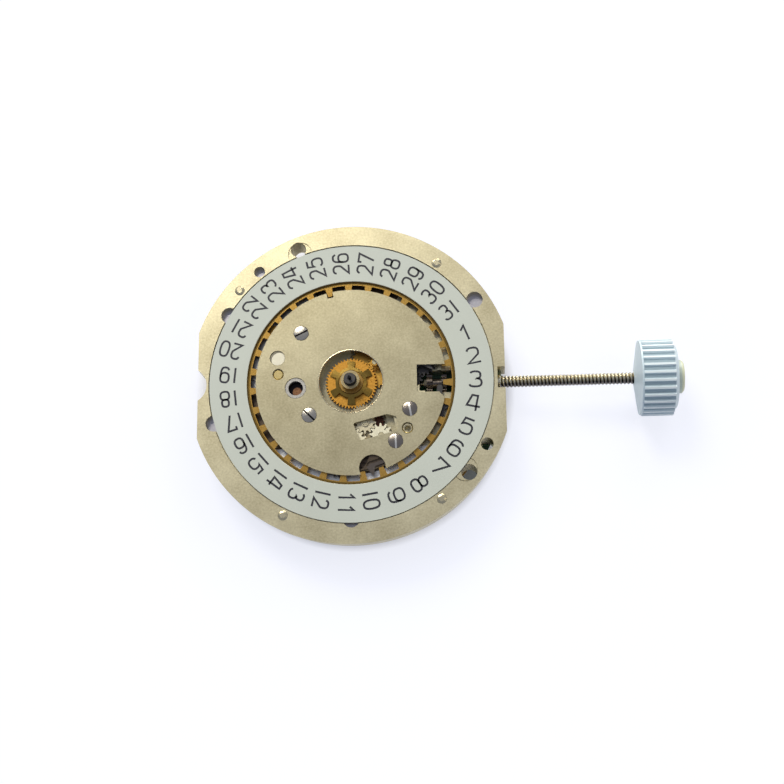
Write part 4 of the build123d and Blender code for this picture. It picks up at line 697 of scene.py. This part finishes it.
around = 24
pitch = 0.29
crest = 0.475
root = 0.385
rod_start = 11.6
rod_end = 24.7
groove_profile = ((0.0, root), (0.36, crest), (0.56, crest), (0.92, root))
thread_steps = int((rod_end - rod_start) / pitch * around)
threaded = [], []
for i in range(thread_steps + 1):
    a = 2 * math.pi * i / around
    x = rod_start + pitch * i / around
    for share, radius in groove_profile:
        threaded[0].append((min(rod_end, x + pitch * share), radius * math.cos(a),
                            stem_z + radius * math.sin(a)))
for i in range(thread_steps):
    for k in range(3):
        threaded[1].append((4 * i + k, 4 * i + k + 1, 4 * i + 5 + k, 4 * i + 4 + k))
    if i + around + 1 <= thread_steps:
        threaded[1].append((4 * i + 3, 4 * (i + around), 4 * (i + around + 1), 4 * i + 7))
pilot = [(4.2, 0.15), (4.23, 0.18), (5.85, 0.18)]
shank = [(8.2, 0.57), (8.23, 0.6), (8.62, 0.6), (8.62, 0.3), (8.98, 0.3), (8.98, 0.6),
         (11.84, 0.6), (11.9, 0.54), (11.9, 0.38)]
shaft = root + 0.005
half_square = 0.28
turned(threaded, pilot)
turned(threaded, shank)
turned(threaded, [(rod_start, shaft), (rod_end + 0.02, shaft)], around)
square = [(y * half_square, z * half_square) for y, z in ((-1, -1), (1, -1), (1, 1), (-1, 1))]
skin(threaded, [[(x, y, stem_z + z) for y, z in square] for x in (5.8, 8.25)])
stem = piece("threaded_stem", threaded, rod, "stem")
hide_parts("stem")

# Crown: a pale blue cap with ribs for the fingers, moulded in plastic and screwed on the rod.
# The tops of its ribs are paler and its grooves darker; its boss is a greener grey, and the
# boss's tip is painted yellow as warm light.
cap = Finish("crown_plastic")
cap_at = cap.place()
cap_x, cap_y, cap_z = cap.axes(cap_at)
cap_fine = cap.grain(cap_at, 0.00012, 4.0)
cap_cloud = cap.grain(cap_at, 0.003, 2.0)
cap_deep = cap_z - stem_height
cap_far_squared = (cap_y * cap_y + cap_deep * cap_deep) * square_mm
cap_share = cap_fine * 0.5 + cap_cloud * 0.5
groove_floor, groove_top = 6.6, 8.5
rib_top = 9.1
ribs_start, ribs_end = 0.02299, 0.02543
boss_start, boss_tip = 0.0258, 0.02612
groove = ((cap_far_squared > groove_floor) * (cap_far_squared < groove_top)
          * (cap_x > ribs_start) * (cap_x < ribs_end))
boss_colour = cap.blend(cap_fine, paint(188, 196, 176), paint(206, 212, 188))
# Painted warm light: the boss's tip turns yellow.
boss_colour = cap.blend((cap_x > boss_tip) * 0.8, boss_colour, paint(226, 224, 170))
cap.set(Base_Color=cap.blend(cap_share, paint(194, 213, 221), paint(216, 231, 235)),
        Roughness=cap_fine * 0.12 + 0.36, Normal=cap.bump(cap_fine, 0.25, 0.00003))
cap.tint(groove * 0.62, paint(132, 158, 170))
cap.tint((cap_far_squared > rib_top) * 0.75, paint(236, 246, 246))
cap.tint((cap_x > boss_start) * 0.75, boss_colour)
wear(cap, "crown")

# Motor: soft iron plates with a core between them, held by screws, and two black moulded
# cheeks that keep the coil's wire in its place. The chip on the board has a cap of the same
# plastic.
iron = steel("soft_iron", paint(170, 168, 164), paint(120, 118, 116), 0.35)
wear(iron, "stator", "coil_core")
cheek = speckled("cheek_plastic", 0.0001, paint(24, 24, 26), paint(46, 46, 48), Roughness=0.5)
wear(cheek, "coil_cheeks", "chip_cap")

# Coil: enamelled copper wire, wound in close turns on the core between the cheeks.
# Its section is a rectangle with round corners, and each turn shows as a fine line.
copper = speckled("copper_wire", 0.0002, paint(150, 74, 36), paint(214, 128, 72),
                  Metallic=0.85, Roughness=0.28)
coil_turn = math.radians(-38.3)
coil_way = math.radians(-128.3)
coil_far = 9.68
coil_long = 5.5
coil_z = centre("coil")[2] / mm
wire = 0.09
corner = 0.4
outline = []
for cx, cy, first in ((0.4, 0.25, 0), (-0.4, 0.25, 90), (-0.4, -0.25, 180), (0.4, -0.25, 270)):
    for k in range(6):
        a = math.radians(first + 18 * k)
        outline.append((cx + corner * math.cos(a), cy + corner * math.sin(a)))
between_turns = 0.955
loops = int(coil_long / wire) * 2
rows = []
for i in range(loops + 1):
    s = coil_long * (i / loops - 0.5)
    grow = 1.0 if i % 2 else between_turns
    x = coil_far * math.cos(coil_way) + s * math.cos(coil_turn)
    y = coil_far * math.sin(coil_way) + s * math.sin(coil_turn)
    rows.append([(x - u * grow * math.sin(coil_turn), y + u * grow * math.cos(coil_turn),
                  coil_z + v * grow) for u, v in outline])
winding = [], []
skin(winding, rows)
coil = piece("wound_coil", winding, copper, "movement", smooth=True)
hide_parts("coil")

# Battery: a round cell in a can of nickel plated steel, which is drawn from sheet and rolled
# over at its edge. The clamp holds it in the bay.
can = steel("battery_case", paint(214, 212, 206), paint(172, 170, 164), 0.26)
wear(can, "battery")

# Circuit board: green glass-fibre laminate, cut to the free space under the main plate.
# Its tracks and solder pads are etched copper with a gilt finish.
board = speckled("board_laminate", 0.0003, paint(18, 74, 44), paint(34, 104, 62), Roughness=0.35)
wear(board, "circuit_board")
board_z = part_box("circuit_board")[0].z / mm
track_wide = 0.22
pad_wide = 0.16
tracks = [], []
arcs = ((6.0, -50, 60), (6.6, -46, 30), (11.3, -52, -20), (11.4, -14, 28), (7.4, 34, 82))
for radius, first, last in arcs:
    turns = [math.radians(first + (last - first) * i / 18) for i in range(19)]
    path = [(radius * math.cos(a), radius * math.sin(a)) for a in turns]
    ribbon(tracks, path, track_wide, board_z - 0.012, board_z + 0.01)
for k in range(5):
    y = 2.1 + 0.6 * k
    for path in ([(9.3, y), (10.0, y), (10.5, y * 0.96)], [(6.6, y), (6.0, y), (5.9, y * 0.92)]):
        ribbon(tracks, path, pad_wide, board_z - 0.014, board_z + 0.01)
piece("board_tracks", tracks, wheel_brass, "movement")

# Jewels of the bridge: clear red stones, ground and polished, and pressed into the bridge
# as bearings for the wheels.
ruby = speckled("jewel_stone", 0.0003, paint(150, 10, 40), paint(196, 30, 66), Roughness=0.12,
                Coat_Weight=0.5)
wear(ruby, "bridge_jewels")

# Rotor: a pinion and arbor moulded in white plastic, with the round magnet pressed on them.
# It turns between the iron plates.
white_plastic = speckled("white_plastic", 0.0002, paint(214, 212, 204), paint(236, 234, 226),
                         Roughness=0.4)
wear(white_plastic, "rotor")
